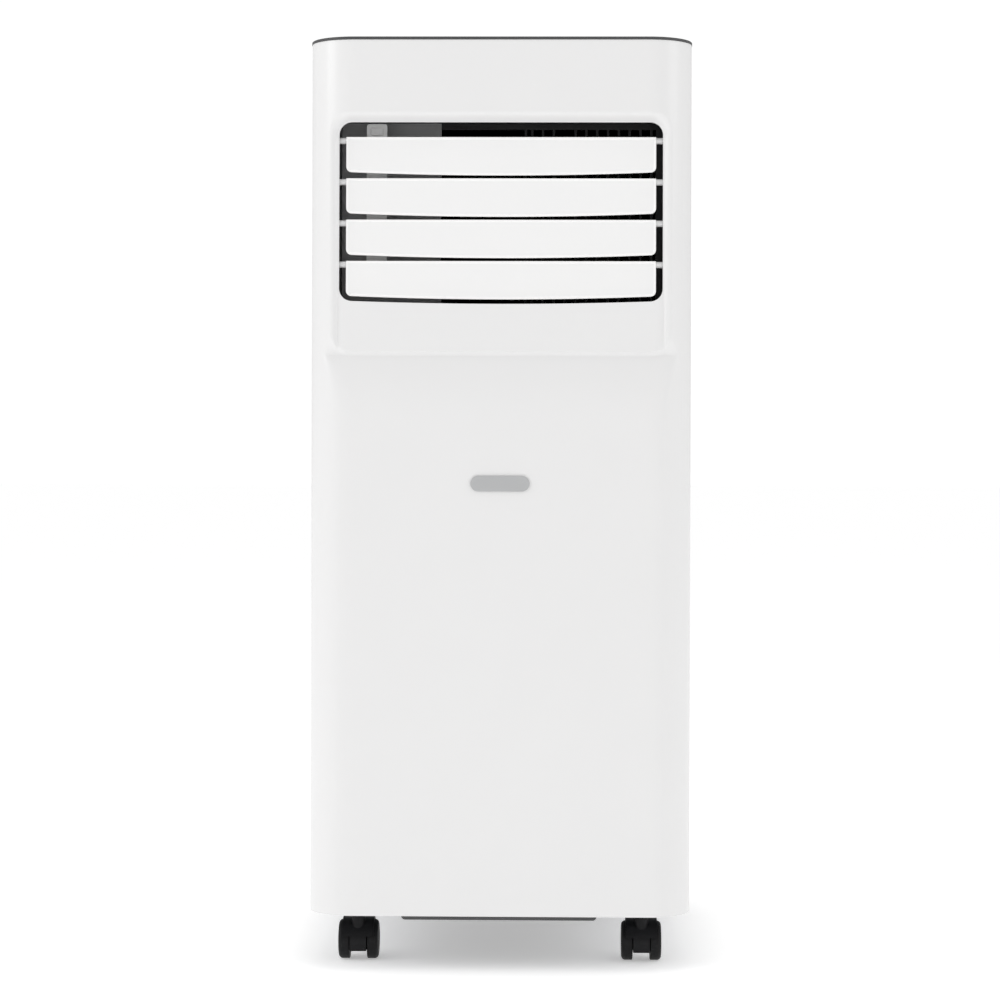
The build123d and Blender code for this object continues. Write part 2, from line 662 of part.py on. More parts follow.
with BuildPart() as outlet_frame:
    block(-FRAME_W / 2, FRAME_W / 2, FRONT_Y, FRAME_BACK_Y, FRAME_BOTTOM_Z, FRAME_TOP_Z)
    block(
        FRAME_SIDE - FRAME_W / 2, FRAME_W / 2 - FRAME_SIDE, FRONT_Y, FRAME_BACK_Y,
        FRAME_BOTTOM_Z + FRAME_WALL, FRAME_TOP_Z - FRAME_WALL, Mode.SUBTRACT,
    )
    split(bisect_by=PANEL_PLANE.offset(-WALL), keep=Keep.BOTTOM)
    add(cavity.part, mode=Mode.INTERSECT)
    for louver_index in range(LOUVER_COUNT):
        pin_y, pin_z = pivot_of(louver_index)
        disc_across(
            pin_y, pin_z, LOUVER_PIN_R + RUN_GAP,
            -LOUVER_PIN_END - FIT_GAP, LOUVER_PIN_END + FIT_GAP, Mode.SUBTRACT,
        )
write(outlet_frame.part, "outlet_frame")

with BuildPart() as outlet_guard:
    guard_half = FRAME_W / 2 - FRAME_SIDE
    guard_low_z = FRAME_BOTTOM_Z + FRAME_WALL
    guard_high_z = FRAME_TOP_Z - FRAME_WALL
    guard_rail = 5.0
    block(-guard_half, guard_half, GUARD_Y, GUARD_Y + GUARD_T, guard_high_z - guard_rail, guard_high_z)
    block(-guard_half, guard_half, GUARD_Y, GUARD_Y + GUARD_T, guard_low_z, guard_low_z + guard_rail)
    block(-guard_half, GUARD_PLATE_END_X, GUARD_Y, GUARD_Y + GUARD_T, guard_low_z, guard_high_z)
    block(guard_half - guard_rail, guard_half, GUARD_Y, GUARD_Y + GUARD_T, guard_low_z, guard_high_z)
    bars = [GUARD_POST_X] + [GUARD_FIRST_X + GUARD_PITCH * step for step in range(GUARD_BARS)]
    for bar_x in bars:
        block(
            bar_x - GUARD_BAR_W / 2, bar_x + GUARD_BAR_W / 2,
            GUARD_Y, GUARD_Y + GUARD_T, guard_low_z, guard_high_z,
        )
write(outlet_guard.part, "outlet_guard")

# A flat geared motor whose output is off its centre, in line with the top louvre's pivot.
with BuildPart() as louver_motor:
    motor_y, motor_z = pivot_of(0)
    disc_across(motor_y + 8.5, motor_z, 9.5, FRAME_W / 2, FRAME_W / 2 + 7)
    disc_across(motor_y + 8.5, motor_z, 2.5, FRAME_W / 2 + 7, FRAME_W / 2 + 8.5)
write(louver_motor.part, "louver_motor")


# ---- rear grilles and the filter -------------------------------------------------------------------
def intake_grille(low_z, high_z):
    """Builds a slatted grille plate in the grille in progress, flush with the casing's back."""
    mid_z = (low_z + high_z) / 2
    tall = high_z - low_z
    plate_back(0, mid_z, GRILLE_W, tall, GRILLE_R - FIT_GAP, BACK_Y - GRILLE_T, BACK_Y)
    rows = int((tall - 2 * GRILLE_RIM) // SLAT_PITCH)
    columns = 3
    column_pitch = (GRILLE_W - 2 * GRILLE_RIM) / columns
    with BuildSketch(facing_back(BACK_Y - GRILLE_T)) as gaps:
        with Locations((0, mid_z)):
            with GridLocations(column_pitch, SLAT_PITCH, columns, rows):
                RectangleRounded(column_pitch - GRILLE_RIM / 2, SLAT_GAP_H, 2)
    extrude(gaps.sketch, amount=-GRILLE_T, mode=Mode.SUBTRACT)


with BuildPart() as upper_intake_grille:
    intake_grille(UPPER_BOTTOM_Z, UPPER_TOP_Z)
    for tab_x in (-FILTER_W / 2 + 4, FILTER_W / 2 - 4):
        for tab_z in (UPPER_BOTTOM_Z + 24, UPPER_TOP_Z - 24):
            block(tab_x - 3, tab_x + 3, FILTER_Y + FILTER_T, BACK_Y - GRILLE_T, tab_z - 8, tab_z + 8)
write(upper_intake_grille.part, "upper_intake_grille")

with BuildPart() as lower_intake_grille:
    intake_grille(LOWER_BOTTOM_Z, LOWER_TOP_Z)
write(lower_intake_grille.part, "lower_intake_grille")

with BuildPart() as upper_filter:
    filter_mid_z = (UPPER_BOTTOM_Z + UPPER_TOP_Z) / 2
    filter_h = UPPER_TOP_Z - UPPER_BOTTOM_Z - 4 * LEDGE_T - 4
    plate_back(0, filter_mid_z, FILTER_W, filter_h, 4, FILTER_Y, FILTER_Y + FILTER_T)
    with BuildSketch(facing_back(FILTER_Y)):
        with Locations((0, filter_mid_z)):
            with GridLocations(FILTER_W / 4, filter_h / 5, 4, 5):
                Rectangle(FILTER_W / 4 - 5, filter_h / 5 - 5)
    extrude(amount=-(FILTER_T / 2 - 0.4), mode=Mode.SUBTRACT)
write(upper_filter.part, "upper_filter")

# ---- exhaust collar, cord inlet, cord hooks and drain plugs -------------------------------------------
with BuildPart() as exhaust_collar:
    disc_back(EXHAUST_X, EXHAUST_Z, EXHAUST_R + COLLAR_WALL, COLLAR_START_Y, REAR_END_Y)
    disc_back(EXHAUST_X, EXHAUST_Z, COLLAR_FLANGE_R, BACK_Y, BACK_Y + 2)
    disc_back(EXHAUST_X, EXHAUST_Z, EXHAUST_R + COLLAR_WALL + 1.5, REAR_END_Y - 3, REAR_END_Y)
    disc_back(EXHAUST_X, EXHAUST_Z, EXHAUST_R, COLLAR_START_Y, REAR_END_Y, Mode.SUBTRACT)
write(exhaust_collar.part, "exhaust_collar")

with BuildPart() as cord_gland:
    disc_back(GLAND_X, GLAND_Z, GLAND_R + 2, ROOM_BACK_Y - 6, BACK_Y)
    disc_back(GLAND_X, GLAND_Z, GLAND_FLANGE_R, BACK_Y, BACK_Y + 4)
    fillet(cord_gland.faces().sort_by(Axis.Y)[-1].edges(), 1.5)
    disc_back(GLAND_X, GLAND_Z, GLAND_R, ROOM_BACK_Y - 6, BACK_Y + 4, Mode.SUBTRACT)
write(cord_gland.part, "cord_gland")

with BuildPart() as cord_hooks:
    for hook_z, turn in zip(HOOK_ZS, (-1, 1)):
        plate_back(HOOK_X, hook_z, HOOK_W + 8, HOOK_W + 8, 3, BACK_Y, BACK_Y + 2)
        block(
            HOOK_X - HOOK_W / 2, HOOK_X + HOOK_W / 2, BACK_Y, REAR_END_Y,
            hook_z - HOOK_T / 2, hook_z + HOOK_T / 2,
        )
        tip_z = hook_z + turn * HOOK_W
        block(
            HOOK_X - HOOK_W / 2, HOOK_X + HOOK_W / 2, REAR_END_Y - HOOK_T, REAR_END_Y,
            min(hook_z, tip_z), max(hook_z, tip_z),
        )
    fillet(cord_hooks.edges().filter_by(Axis.X).group_by(Axis.Y)[-1], 1.2)
write(cord_hooks.part, "cord_hooks")


def drain_plug(x, z):
    """A push-in plug with a round finger head."""
    with BuildPart() as plug:
        disc_back(x, z, PLUG_R, BACK_Y - PLUG_DEPTH, BACK_Y + PLUG_GAP)
        disc_back(x, z, PLUG_HEAD_R, BACK_Y + PLUG_GAP, BACK_Y + PLUG_GAP + PLUG_HEAD_T)
        fillet(plug.faces().sort_by(Axis.Y)[-1].edges(), 1)
        plate_back(
            x, z, PLUG_HEAD_R, 2.4, 1, BACK_Y + PLUG_GAP + PLUG_HEAD_T, BACK_Y + 2 * PLUG_HEAD_T
        )
    return plug.part


write(drain_plug(*UPPER_DRAIN), "upper_drain_plug")
write(drain_plug(*LOWER_DRAIN), "lower_drain_plug")


def spigot(x, z, y_from):
    """Adds a drain spigot that ends flush with the casing's back, and its bore, to the part."""
    disc_back(x, z, SPIGOT_R, y_from, BACK_Y)
    disc_back(x, z, PLUG_R + RUN_GAP, y_from - 2 * WALL, BACK_Y, Mode.SUBTRACT)


# ---- base ----------------------------------------------------------------------------------------------
CASTER_PLACES = [
    (side * CASTER_X, y) for y in (CASTER_FRONT_Y, CASTER_REAR_Y) for side in (-1, 1)
]

with BuildPart() as base_pan:
    plate_up(0, MID_Y, ROOM_W, ROOM_D, ROOM_R, PAN_BOTTOM_Z, PAN_RIM_Z)
    plate_up(
        0, MID_Y, ROOM_W - 2 * WALL, ROOM_D - 2 * WALL, ROOM_R - WALL,
        PAN_FLOOR_Z, PAN_RIM_Z, Mode.SUBTRACT,
    )
    for caster_x, caster_y in CASTER_PLACES:
        disc_up(caster_x, caster_y, SOCKET_R, SOCKET_BOTTOM_Z, SOCKET_TOP_Z)
    for caster_x, caster_y in CASTER_PLACES:
        disc_up(
            caster_x, caster_y, STEM_R + RUN_GAP, SOCKET_BOTTOM_Z, STEM_TOP_Z + FIT_GAP, Mode.SUBTRACT
        )
    spigot(*LOWER_DRAIN, ROOM_BACK_Y - 2 * WALL)
write(base_pan.part, "base_pan")

with BuildPart() as base_plate:
    plate_up(0, MID_Y, PLATE_W, PLATE_D, 6, PLATE_BOTTOM_Z, PAN_BOTTOM_Z)
    fillet(base_plate.faces().sort_by(Axis.Z)[0].edges(), 1)
    plate_up(
        0, MID_Y, PLATE_W - 2 * PLATE_T, PLATE_D - 2 * PLATE_T, 4,
        PLATE_BOTTOM_Z + PLATE_T, PAN_BOTTOM_Z, Mode.SUBTRACT,
    )
write(base_plate.part, "base_plate")

with BuildPart() as drain_tray:
    tray_right_x = ROOM_W / 2
    block(TRAY_LEFT_X, tray_right_x, TRAY_FRONT_Y, ROOM_BACK_Y, TRAY_Z, TRAY_RIM_Z)
    block(
        TRAY_LEFT_X + TRAY_T, tray_right_x - TRAY_T, TRAY_FRONT_Y + TRAY_T, ROOM_BACK_Y - TRAY_T,
        TRAY_Z + TRAY_T, TRAY_RIM_Z, Mode.SUBTRACT,
    )
    add(cavity.part, mode=Mode.INTERSECT)
    spigot(*UPPER_DRAIN, ROOM_BACK_Y - 2 * WALL)
write(drain_tray.part, "drain_tray")

# ---- compressor and its accumulator ----------------------------------------------------------------------
with BuildPart() as compressor:
    disc_up(COMPRESSOR_X, COMPRESSOR_Y, COMPRESSOR_R, COMPRESSOR_LOW_Z, COMPRESSOR_TOP_Z)
    fillet(compressor.faces().sort_by(Axis.Z)[-1].edges(), COMPRESSOR_DOME_R)
    fillet(compressor.faces().sort_by(Axis.Z)[0].edges(), COMPRESSOR_DOME_R / 2)
    with BuildSketch(Plane(origin=(COMPRESSOR_X, COMPRESSOR_Y, COMPRESSOR_LOW_Z))) as foot:
        RegularPolygon(COMPRESSOR_FOOT_R, 3, rotation=-90)
        fillet(foot.vertices(), GROMMET_R)
    extrude(amount=COMPRESSOR_FOOT_T)
    disc_up(COMPRESSOR_X, COMPRESSOR_Y, 12, COMPRESSOR_TOP_Z - 2, COMPRESSOR_TOP_Z + 5)
    disc_up(
        ACCUMULATOR_X, ACCUMULATOR_Y, ACCUMULATOR_R, ACCUMULATOR_LOW_Z, ACCUMULATOR_TOP_Z
    )
    accumulator_ends = compressor.edges().filter_by(GeomType.CIRCLE).filter_by(
        lambda edge: abs(edge.radius - ACCUMULATOR_R) < 0.01
    )
    fillet(accumulator_ends, ACCUMULATOR_R / 2)
    bracket_z = (ACCUMULATOR_LOW_Z + ACCUMULATOR_TOP_Z) / 2
    block(
        COMPRESSOR_X + COMPRESSOR_R - 12, ACCUMULATOR_X - ACCUMULATOR_R / 2,
        ACCUMULATOR_Y + 8, ACCUMULATOR_Y + 12, bracket_z - 12, bracket_z + 12,
    )
write(compressor.part, "compressor")

with BuildPart() as compressor_grommets:
    with BuildSketch(Plane(origin=(COMPRESSOR_X, COMPRESSOR_Y, PAN_FLOOR_Z))):
        with PolarLocations(COMPRESSOR_FOOT_R - 2 * GROMMET_R, 3, start_angle=-90):
            Circle(GROMMET_R)
    extrude(amount=COMPRESSOR_LOW_Z - PAN_FLOOR_Z)
write(compressor_grommets.part, "compressor_grommets")


# ---- heat exchangers -------------------------------------------------------------------------------------
def coil(low_z, high_z, rows):
    """A finned block between two end plates, with its return bends outside them."""
    half = COIL_W / 2
    front_y = COIL_Y - COIL_T / 2
    back_y = COIL_Y + COIL_T / 2
    with BuildPart() as exchanger:
        block(-half, half, front_y, back_y, low_z, high_z)
        for side in (-1, 1):
            plate_from = side * half
            plate_to = side * (half + COIL_PLATE_T)
            block(
                min(plate_from, plate_to), max(plate_from, plate_to),
                front_y - 2, back_y + 2, low_z, high_z,
            )
            pitch = (high_z - low_z) / rows
            for row in range(rows):
                bend_z = low_z + pitch * (row + 0.5)
                disc_across(COIL_Y - 8, bend_z, COIL_TUBE_R, plate_to, plate_to + side * 8)
                disc_across(COIL_Y + 8, bend_z, COIL_TUBE_R, plate_to, plate_to + side * 8)
                block(
                    min(plate_to + side * 3, plate_to + side * 8),
                    max(plate_to + side * 3, plate_to + side * 8),
                    COIL_Y - 8, COIL_Y + 8, bend_z - 3, bend_z + 3,
                )
    return exchanger.part


write(coil(SOCKET_TOP_Z + 2, LOWER_TOP_Z + 4, 6), "condenser_coil")
write(coil(TRAY_RIM_Z, UPPER_TOP_Z + 6, 9), "evaporator_coil")

# Three copper lines: hot gas to the condenser, suction back from the evaporator, and the liquid line.
with BuildPart() as refrigerant_pipes:
    plate_x = -COIL_W / 2 - COIL_PLATE_T
    hot_x = plate_x - COIL_PLATE_T
    hot_points = [
        (COMPRESSOR_X, COMPRESSOR_Y, COMPRESSOR_TOP_Z + 5),
        (COMPRESSOR_X, COMPRESSOR_Y, 320),
        (hot_x, COMPRESSOR_Y, 320),
        (hot_x, COIL_Y, 320),
        (hot_x, COIL_Y, LOWER_TOP_Z + 4),
    ]
    suction_x = plate_x - PIPE_BEND_R - 0.5
    suction_points = [
        (ACCUMULATOR_X, ACCUMULATOR_Y, ACCUMULATOR_TOP_Z),
        (ACCUMULATOR_X, ACCUMULATOR_Y, 350),
        (suction_x, ACCUMULATOR_Y, 350),
        (suction_x, 40, 350),
        (suction_x, 40, 569.5),
        (suction_x, COIL_Y, 569.5),
        (plate_x, COIL_Y, 569.5),
    ]
    liquid_x = suction_x - 3 * PIPE_R
    liquid_points = [
        (plate_x, COIL_Y, 130.2),
        (liquid_x, COIL_Y, 130.2),
        (liquid_x, 80, 130.2),
        (liquid_x, 80, 475.3),
        (liquid_x, COIL_Y, 475.3),
        (plate_x, COIL_Y, 475.3),
    ]
    for points in (hot_points, suction_points, liquid_points):
        start, then = Vector(*points[0]), Vector(*points[1])
        with BuildLine() as route:
            FilletPolyline(*points, radius=PIPE_BEND_R)
        with BuildSketch(Plane(origin=start, z_dir=then - start)) as bore:
            Circle(PIPE_R)
        sweep(bore.sketch, path=route.wire())
write(refrigerant_pipes.part, "refrigerant_pipes")


# ---- fans ---------------------------------------------------------------------------------------------------
def fan_scroll(x, z, radius, front_y, back_y, throat_top_z, throat_x, throat_w):
    """Adds a hollow fan housing whose throat rises to throat_top_z."""
    outer = radius + SCROLL_GAP
    low_y = front_y - SCROLL_SIDE_GAP
    high_y = back_y + SCROLL_SIDE_GAP
    throat_z = (z + throat_top_z) / 2
    for grow, mode in ((SCROLL_WALL, Mode.ADD), (0, Mode.SUBTRACT)):
        with BuildSketch(facing_back(low_y - grow)) as outline:
            with Locations((x, z)):
                Circle(outer + grow)
            with Locations((throat_x, throat_z)):
                Rectangle(throat_w + 2 * grow, throat_top_z - z + 2 * grow)
        extrude(outline.sketch, amount=low_y - high_y - 2 * grow, mode=mode)


def cage_wheel(x, z, radius, front_y, back_y):
    """A forward-curved cage wheel: front disc with a hub and shaft, blades, and a rear ring."""
    with BuildPart() as wheel:
        disc_back(x, z, radius, front_y, front_y + 2)
        disc_back(x, z, radius, back_y - 2, back_y)
        disc_back(x, z, radius - BLADE_DEPTH, back_y - 2, back_y, Mode.SUBTRACT)
        with BuildSketch(facing_back(front_y + 2)) as blades:
            with Locations((x, z)):
                with PolarLocations(radius - BLADE_DEPTH / 2 - 0.5, BLADE_COUNT):
                    Rectangle(BLADE_DEPTH - 2, BLADE_T, rotation=25)
        extrude(blades.sketch, amount=front_y + 4 - back_y)
        disc_back(x, z, HUB_R, front_y, front_y + 14)
        disc_back(x, z, SHAFT_R, front_y - MOTOR_L / 2, front_y)
    return wheel.part


def fan_motor(x, z, radius, face_y):
    """A flat round motor, bored for the shaft, whose rear face is at face_y."""
    with BuildPart() as motor:
        disc_back(x, z, radius, face_y - MOTOR_L, face_y)
        fillet(motor.faces().sort_by(Axis.Y)[0].edges(), 5)
        disc_back(x, z, SHAFT_R + RUN_GAP, face_y - MOTOR_L / 2 - 3, face_y, Mode.SUBTRACT)
    return motor.part


with BuildPart() as blower_scroll:
    scroll_top_z = FRAME_TOP_Z - 2 * FRAME_WALL
    fan_scroll(
        BLOWER_X, BLOWER_Z, BLOWER_R, BLOWER_FRONT_Y, BLOWER_BACK_Y,
        scroll_top_z, THROAT_X, THROAT_W,
    )
    scroll_front_y = BLOWER_FRONT_Y - SCROLL_SIDE_GAP - SCROLL_WALL
    scroll_back_y = BLOWER_BACK_Y + SCROLL_SIDE_GAP + SCROLL_WALL
    disc_back(BLOWER_X, BLOWER_Z, 0.72 * BLOWER_R, scroll_back_y - 5, scroll_back_y, Mode.SUBTRACT)
    disc_back(BLOWER_X, BLOWER_Z, HUB_R, scroll_front_y, scroll_front_y + 5, Mode.SUBTRACT)
    plate_back(
        THROAT_X, DUCT_WINDOW_Z, DUCT_WINDOW_W, DUCT_WINDOW_H, 4,
        scroll_front_y, scroll_front_y + 5, Mode.SUBTRACT,
    )
write(blower_scroll.part, "blower_scroll")

with BuildPart() as air_duct:
    block(-FRAME_W / 2, FRAME_W / 2, FRAME_BACK_Y, scroll_front_y, FRAME_BOTTOM_Z, FRAME_TOP_Z)
    block(
        FRAME_WALL - FRAME_W / 2, FRAME_W / 2 - FRAME_WALL, FRAME_BACK_Y, scroll_front_y - FRAME_WALL,
        FRAME_BOTTOM_Z + FRAME_WALL, FRAME_TOP_Z - FRAME_WALL, Mode.SUBTRACT,
    )
    plate_back(
        THROAT_X, DUCT_WINDOW_Z, DUCT_WINDOW_W, DUCT_WINDOW_H, 4,
        scroll_front_y - FRAME_WALL, scroll_front_y, Mode.SUBTRACT,
    )
write(air_duct.part, "air_duct")

write(cage_wheel(BLOWER_X, BLOWER_Z, BLOWER_R, BLOWER_FRONT_Y, BLOWER_BACK_Y), "blower_wheel")
write(fan_motor(BLOWER_X, BLOWER_Z, BLOWER_MOTOR_R, scroll_front_y), "blower_motor")

with BuildPart() as condenser_scroll:
    fan_scroll(
        CONDENSER_X, CONDENSER_Z, CONDENSER_R, CONDENSER_FRONT_Y, CONDENSER_BACK_Y,
        EXHAUST_Z + EXHAUST_R, EXHAUST_X, 2 * EXHAUST_R,
    )
    hot_front_y = CONDENSER_FRONT_Y - SCROLL_SIDE_GAP - SCROLL_WALL
    hot_back_y = CONDENSER_BACK_Y + SCROLL_SIDE_GAP + SCROLL_WALL
    disc_back(
        CONDENSER_X, CONDENSER_Z - 20, 0.6 * CONDENSER_R, hot_back_y - 5, hot_back_y, Mode.SUBTRACT
    )
    disc_back(CONDENSER_X, CONDENSER_Z, HUB_R, hot_front_y, hot_front_y + 5, Mode.SUBTRACT)
    disc_back(EXHAUST_X, EXHAUST_Z, EXHAUST_R, hot_back_y, COLLAR_START_Y)
    disc_back(
        EXHAUST_X, EXHAUST_Z, EXHAUST_R - SCROLL_WALL, hot_back_y - SCROLL_WALL, COLLAR_START_Y,
        Mode.SUBTRACT,
    )
write(condenser_scroll.part, "condenser_scroll")

write(
    cage_wheel(CONDENSER_X, CONDENSER_Z, CONDENSER_R, CONDENSER_FRONT_Y, CONDENSER_BACK_Y),
    "condenser_wheel",
)
write(fan_motor(CONDENSER_X, CONDENSER_Z, CONDENSER_MOTOR_R, hot_front_y), "condenser_motor")

# ---- electrics -------------------------------------------------------------------------------------------------
with BuildPart() as control_box:
    box_from = CONTROL_X - CONTROL_W / 2
    box_to = CONTROL_X + CONTROL_W / 2
    block(box_from, box_to, CONTROL_FRONT_Y, CONTROL_BACK_Y, CONTROL_LOW_Z, CONTROL_TOP_Z)
    block(
        box_from + WALL, box_to - WALL, CONTROL_FRONT_Y + WALL, CONTROL_BACK_Y,
        CONTROL_LOW_Z + WALL, CONTROL_TOP_Z - WALL, Mode.SUBTRACT,
    )
    for leg_x in (box_from, box_to - 12):
        block(leg_x, leg_x + 12, CONTROL_FRONT_Y + 16, CONTROL_FRONT_Y + 20, PAN_FLOOR_Z, CONTROL_LOW_Z)
write(control_box.part, "control_box")

# The power board, its transformer, relays and heat sink, and the compressor's run capacitor.
with BuildPart() as main_board:
    board_y = CONTROL_FRONT_Y + 2 * WALL
    block(
        box_from + WALL, box_to - WALL, board_y, board_y + BOARD_T,
        CONTROL_LOW_Z + WALL, CONTROL_TOP_Z - WALL,
    )
    on_board_y = board_y + BOARD_T
    block(CONTROL_X - 34, CONTROL_X - 6, on_board_y, on_board_y + 24, 216, 244)
    for relay_x in (CONTROL_X + 4, CONTROL_X + 24):
        block(relay_x, relay_x + 14, on_board_y, on_board_y + 16, 220, 240)
    block(CONTROL_X - 34, CONTROL_X - 14, on_board_y, on_board_y + 12, 150, 200)
    disc_up(CONTROL_X + 18, on_board_y + CAPACITOR_R, CAPACITOR_R, 106, 196)
write(main_board.part, "main_board")


# ---- casters ----------------------------------------------------------------------------------------------------
def caster_fork(x, y):
    """Stem, collar, hood, web between the wheels, and the axle through it."""
    axle_y = y + CASTER_TRAIL
    with BuildPart() as fork:
        disc_across(axle_y, WHEEL_R, FENDER_R, x - FORK_HALF_W, x + FORK_HALF_W)
        block(
            x - FORK_HALF_W, x + FORK_HALF_W, axle_y - FENDER_R, axle_y + FENDER_R,
            -FENDER_R, WHEEL_R + FENDER_R / 4, Mode.SUBTRACT,
        )
        for side in (-1, 1):
            disc_across(
                axle_y, WHEEL_R, WHEEL_R + FENDER_GAP,
                x + side * WEB_HALF_W, x + side * 2 * FORK_HALF_W, Mode.SUBTRACT,
            )
        with BuildSketch(Plane.YZ.offset(x - WEB_HALF_W)):
            with Locations((axle_y, WHEEL_R)):
                Circle(FENDER_R - 1)
            with Locations((axle_y, 0)):
                Rectangle(2 * FENDER_R, 2 * WEB_LOW_Z, mode=Mode.SUBTRACT)
        extrude(amount=2 * WEB_HALF_W)
        disc_up(x, y, COLLAR_R, WHEEL_R, COLLAR_TOP_Z)
        for side in (-1, 1):
            disc_across(
                axle_y, WHEEL_R, WHEEL_R + FENDER_GAP,
                x + side * WEB_HALF_W, x + side * 2 * FORK_HALF_W, Mode.SUBTRACT,
            )
        disc_up(x, y, STEM_R, COLLAR_TOP_Z, STEM_TOP_Z)
        disc_across(axle_y, WHEEL_R, AXLE_R, x - AXLE_END, x + AXLE_END)
    return fork.part


def caster_wheel(x, y, side):
    """One wheel with a domed outer face, bored from its inner face for the axle."""
    axle_y = y + CASTER_TRAIL
    with BuildPart() as wheel:
        disc_across(axle_y, WHEEL_R, WHEEL_R, x + side * WHEEL_IN, x + side * WHEEL_OUT)
        outer_face = wheel.faces().sort_by(Axis.X)[-1 if side > 0 else 0]
        fillet(outer_face.edges(), WHEEL_DOME)
        disc_across(
            axle_y, WHEEL_R, AXLE_R + RUN_GAP,
            x + side * WHEEL_IN, x + side * (AXLE_END + FIT_GAP), Mode.SUBTRACT,
        )
    return wheel.part


CASTER_NAMES = ("front_left", "front_right", "rear_left", "rear_right")
for place_name, (caster_x, caster_y) in zip(CASTER_NAMES, CASTER_PLACES):
    write(caster_fork(caster_x, caster_y), f"{place_name}_caster_fork")
    write(caster_wheel(caster_x, caster_y, -1), f"{place_name}_wheel_left")
    write(caster_wheel(caster_x, caster_y, 1), f"{place_name}_wheel_right")
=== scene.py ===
"""Finished surfaces of a slim portable air conditioner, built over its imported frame.

Lengths in the classes are millimetres, and become metres where a mesh is made. X is to the
right seen from the front, Y runs from front to back and Z is up from the floor.
"""

import json
import logging
import math
import sys
from contextlib import contextmanager
from dataclasses import dataclass, field
from enum import Enum
from typing import Callable, Iterator, Sequence

import bmesh
import bpy
from mathutils import Matrix, Vector

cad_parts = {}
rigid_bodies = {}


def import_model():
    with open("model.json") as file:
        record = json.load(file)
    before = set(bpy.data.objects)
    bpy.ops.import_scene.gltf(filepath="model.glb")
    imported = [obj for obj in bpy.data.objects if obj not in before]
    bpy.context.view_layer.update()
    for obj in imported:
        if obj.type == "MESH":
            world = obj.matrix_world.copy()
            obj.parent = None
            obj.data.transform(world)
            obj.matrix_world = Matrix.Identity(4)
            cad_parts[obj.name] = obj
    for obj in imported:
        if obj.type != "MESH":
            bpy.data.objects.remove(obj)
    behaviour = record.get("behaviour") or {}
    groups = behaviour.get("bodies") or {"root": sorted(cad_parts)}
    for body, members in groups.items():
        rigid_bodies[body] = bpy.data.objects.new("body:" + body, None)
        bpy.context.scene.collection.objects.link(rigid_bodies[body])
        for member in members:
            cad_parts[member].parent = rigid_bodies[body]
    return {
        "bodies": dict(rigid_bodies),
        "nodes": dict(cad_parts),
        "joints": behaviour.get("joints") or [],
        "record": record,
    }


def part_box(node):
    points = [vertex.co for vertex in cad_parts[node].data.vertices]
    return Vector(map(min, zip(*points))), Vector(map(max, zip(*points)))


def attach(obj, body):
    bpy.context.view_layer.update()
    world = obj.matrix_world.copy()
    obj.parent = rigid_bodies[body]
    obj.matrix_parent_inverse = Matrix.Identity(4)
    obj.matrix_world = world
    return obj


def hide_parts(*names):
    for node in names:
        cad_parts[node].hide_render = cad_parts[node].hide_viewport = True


MM = 0.001
TINY = 1e-5
WELD = 2e-6
FLAT_ANGLE = math.radians(1.0)
SMOOTH_ANGLE = math.radians(32)
UPRIGHT = (math.pi / 2, 0.0, 0.0)
WHITE = (1.0, 1.0, 1.0, 1.0)
log = logging.getLogger("air_conditioner")
Piece = bpy.types.Object
Triple = tuple[float, float, float]
Tree = bpy.types.NodeTree
Node = bpy.types.Node
Socket = bpy.types.NodeSocket
EdgeTest = Callable[[Vector, Vector], bool]
FaceTest = Callable[[Vector, Vector], bool]


class Along(Enum):
    """The axis that a round piece lies along, with the turn that lays a drum on it."""

    X = (0.0, math.pi / 2, 0.0)
    Y = (math.pi / 2, 0.0, 0.0)
    Z = (0.0, 0.0, 0.0)

    @property
    def index(self) -> int:
        """The axis's place in a vector."""
        return "XYZ".index(self.name)


# ---- bench work: the few hand operations that every piece is made with ---------------


def deselect_all() -> None:
    """Clears the selection, which the frame leaves full."""
    if bpy.context.object and bpy.context.object.mode != "OBJECT":
        bpy.ops.object.mode_set(mode="OBJECT")
    bpy.ops.object.select_all(action="DESELECT")


def pick(piece: Piece) -> None:
    """Makes one piece the only selected one and the active one.

    Args:
        piece: the piece to pick.
    """
    deselect_all()
    piece.select_set(True)
    bpy.context.view_layer.objects.active = piece


@contextmanager
def editing(piece: Piece, kind: str = "FACE") -> Iterator[None]:
    """Opens a piece in edit mode.

    Args:
        piece: the piece to open.
        kind: what is selected there: VERT, EDGE or FACE.
    """
    pick(piece)
    bpy.ops.object.mode_set(mode="EDIT")
    bpy.ops.mesh.select_mode(type=kind)
    yield
    bpy.ops.object.mode_set(mode="OBJECT")


def select_all() -> None:
    """Selects all of the mesh that is open."""
    bpy.ops.mesh.select_all(action="SELECT")


def face_outwards() -> None:
    """Turns every face of the open mesh outwards."""
    select_all()
    bpy.ops.mesh.normals_make_consistent(inside=False)


def draw_out(depth: float) -> None:
    """Extrudes all of the open mesh to the back, by a depth in millimetres."""
    select_all()
    bpy.ops.mesh.extrude_region_move(TRANSFORM_OT_translate={"value": (0, depth * MM, 0)})


def step_in(border: float, step: float, sink: float) -> None:
    """Insets the chosen faces by a border, then by a step that sinks, all in millimetres.

    Args:
        border: the width of the flat border.
        step: the width of the sloping step.
        sink: how far the field inside sinks.
    """
    bpy.ops.mesh.inset(thickness=border * MM, depth=0.0)
    bpy.ops.mesh.inset(thickness=step * MM, depth=-sink * MM)


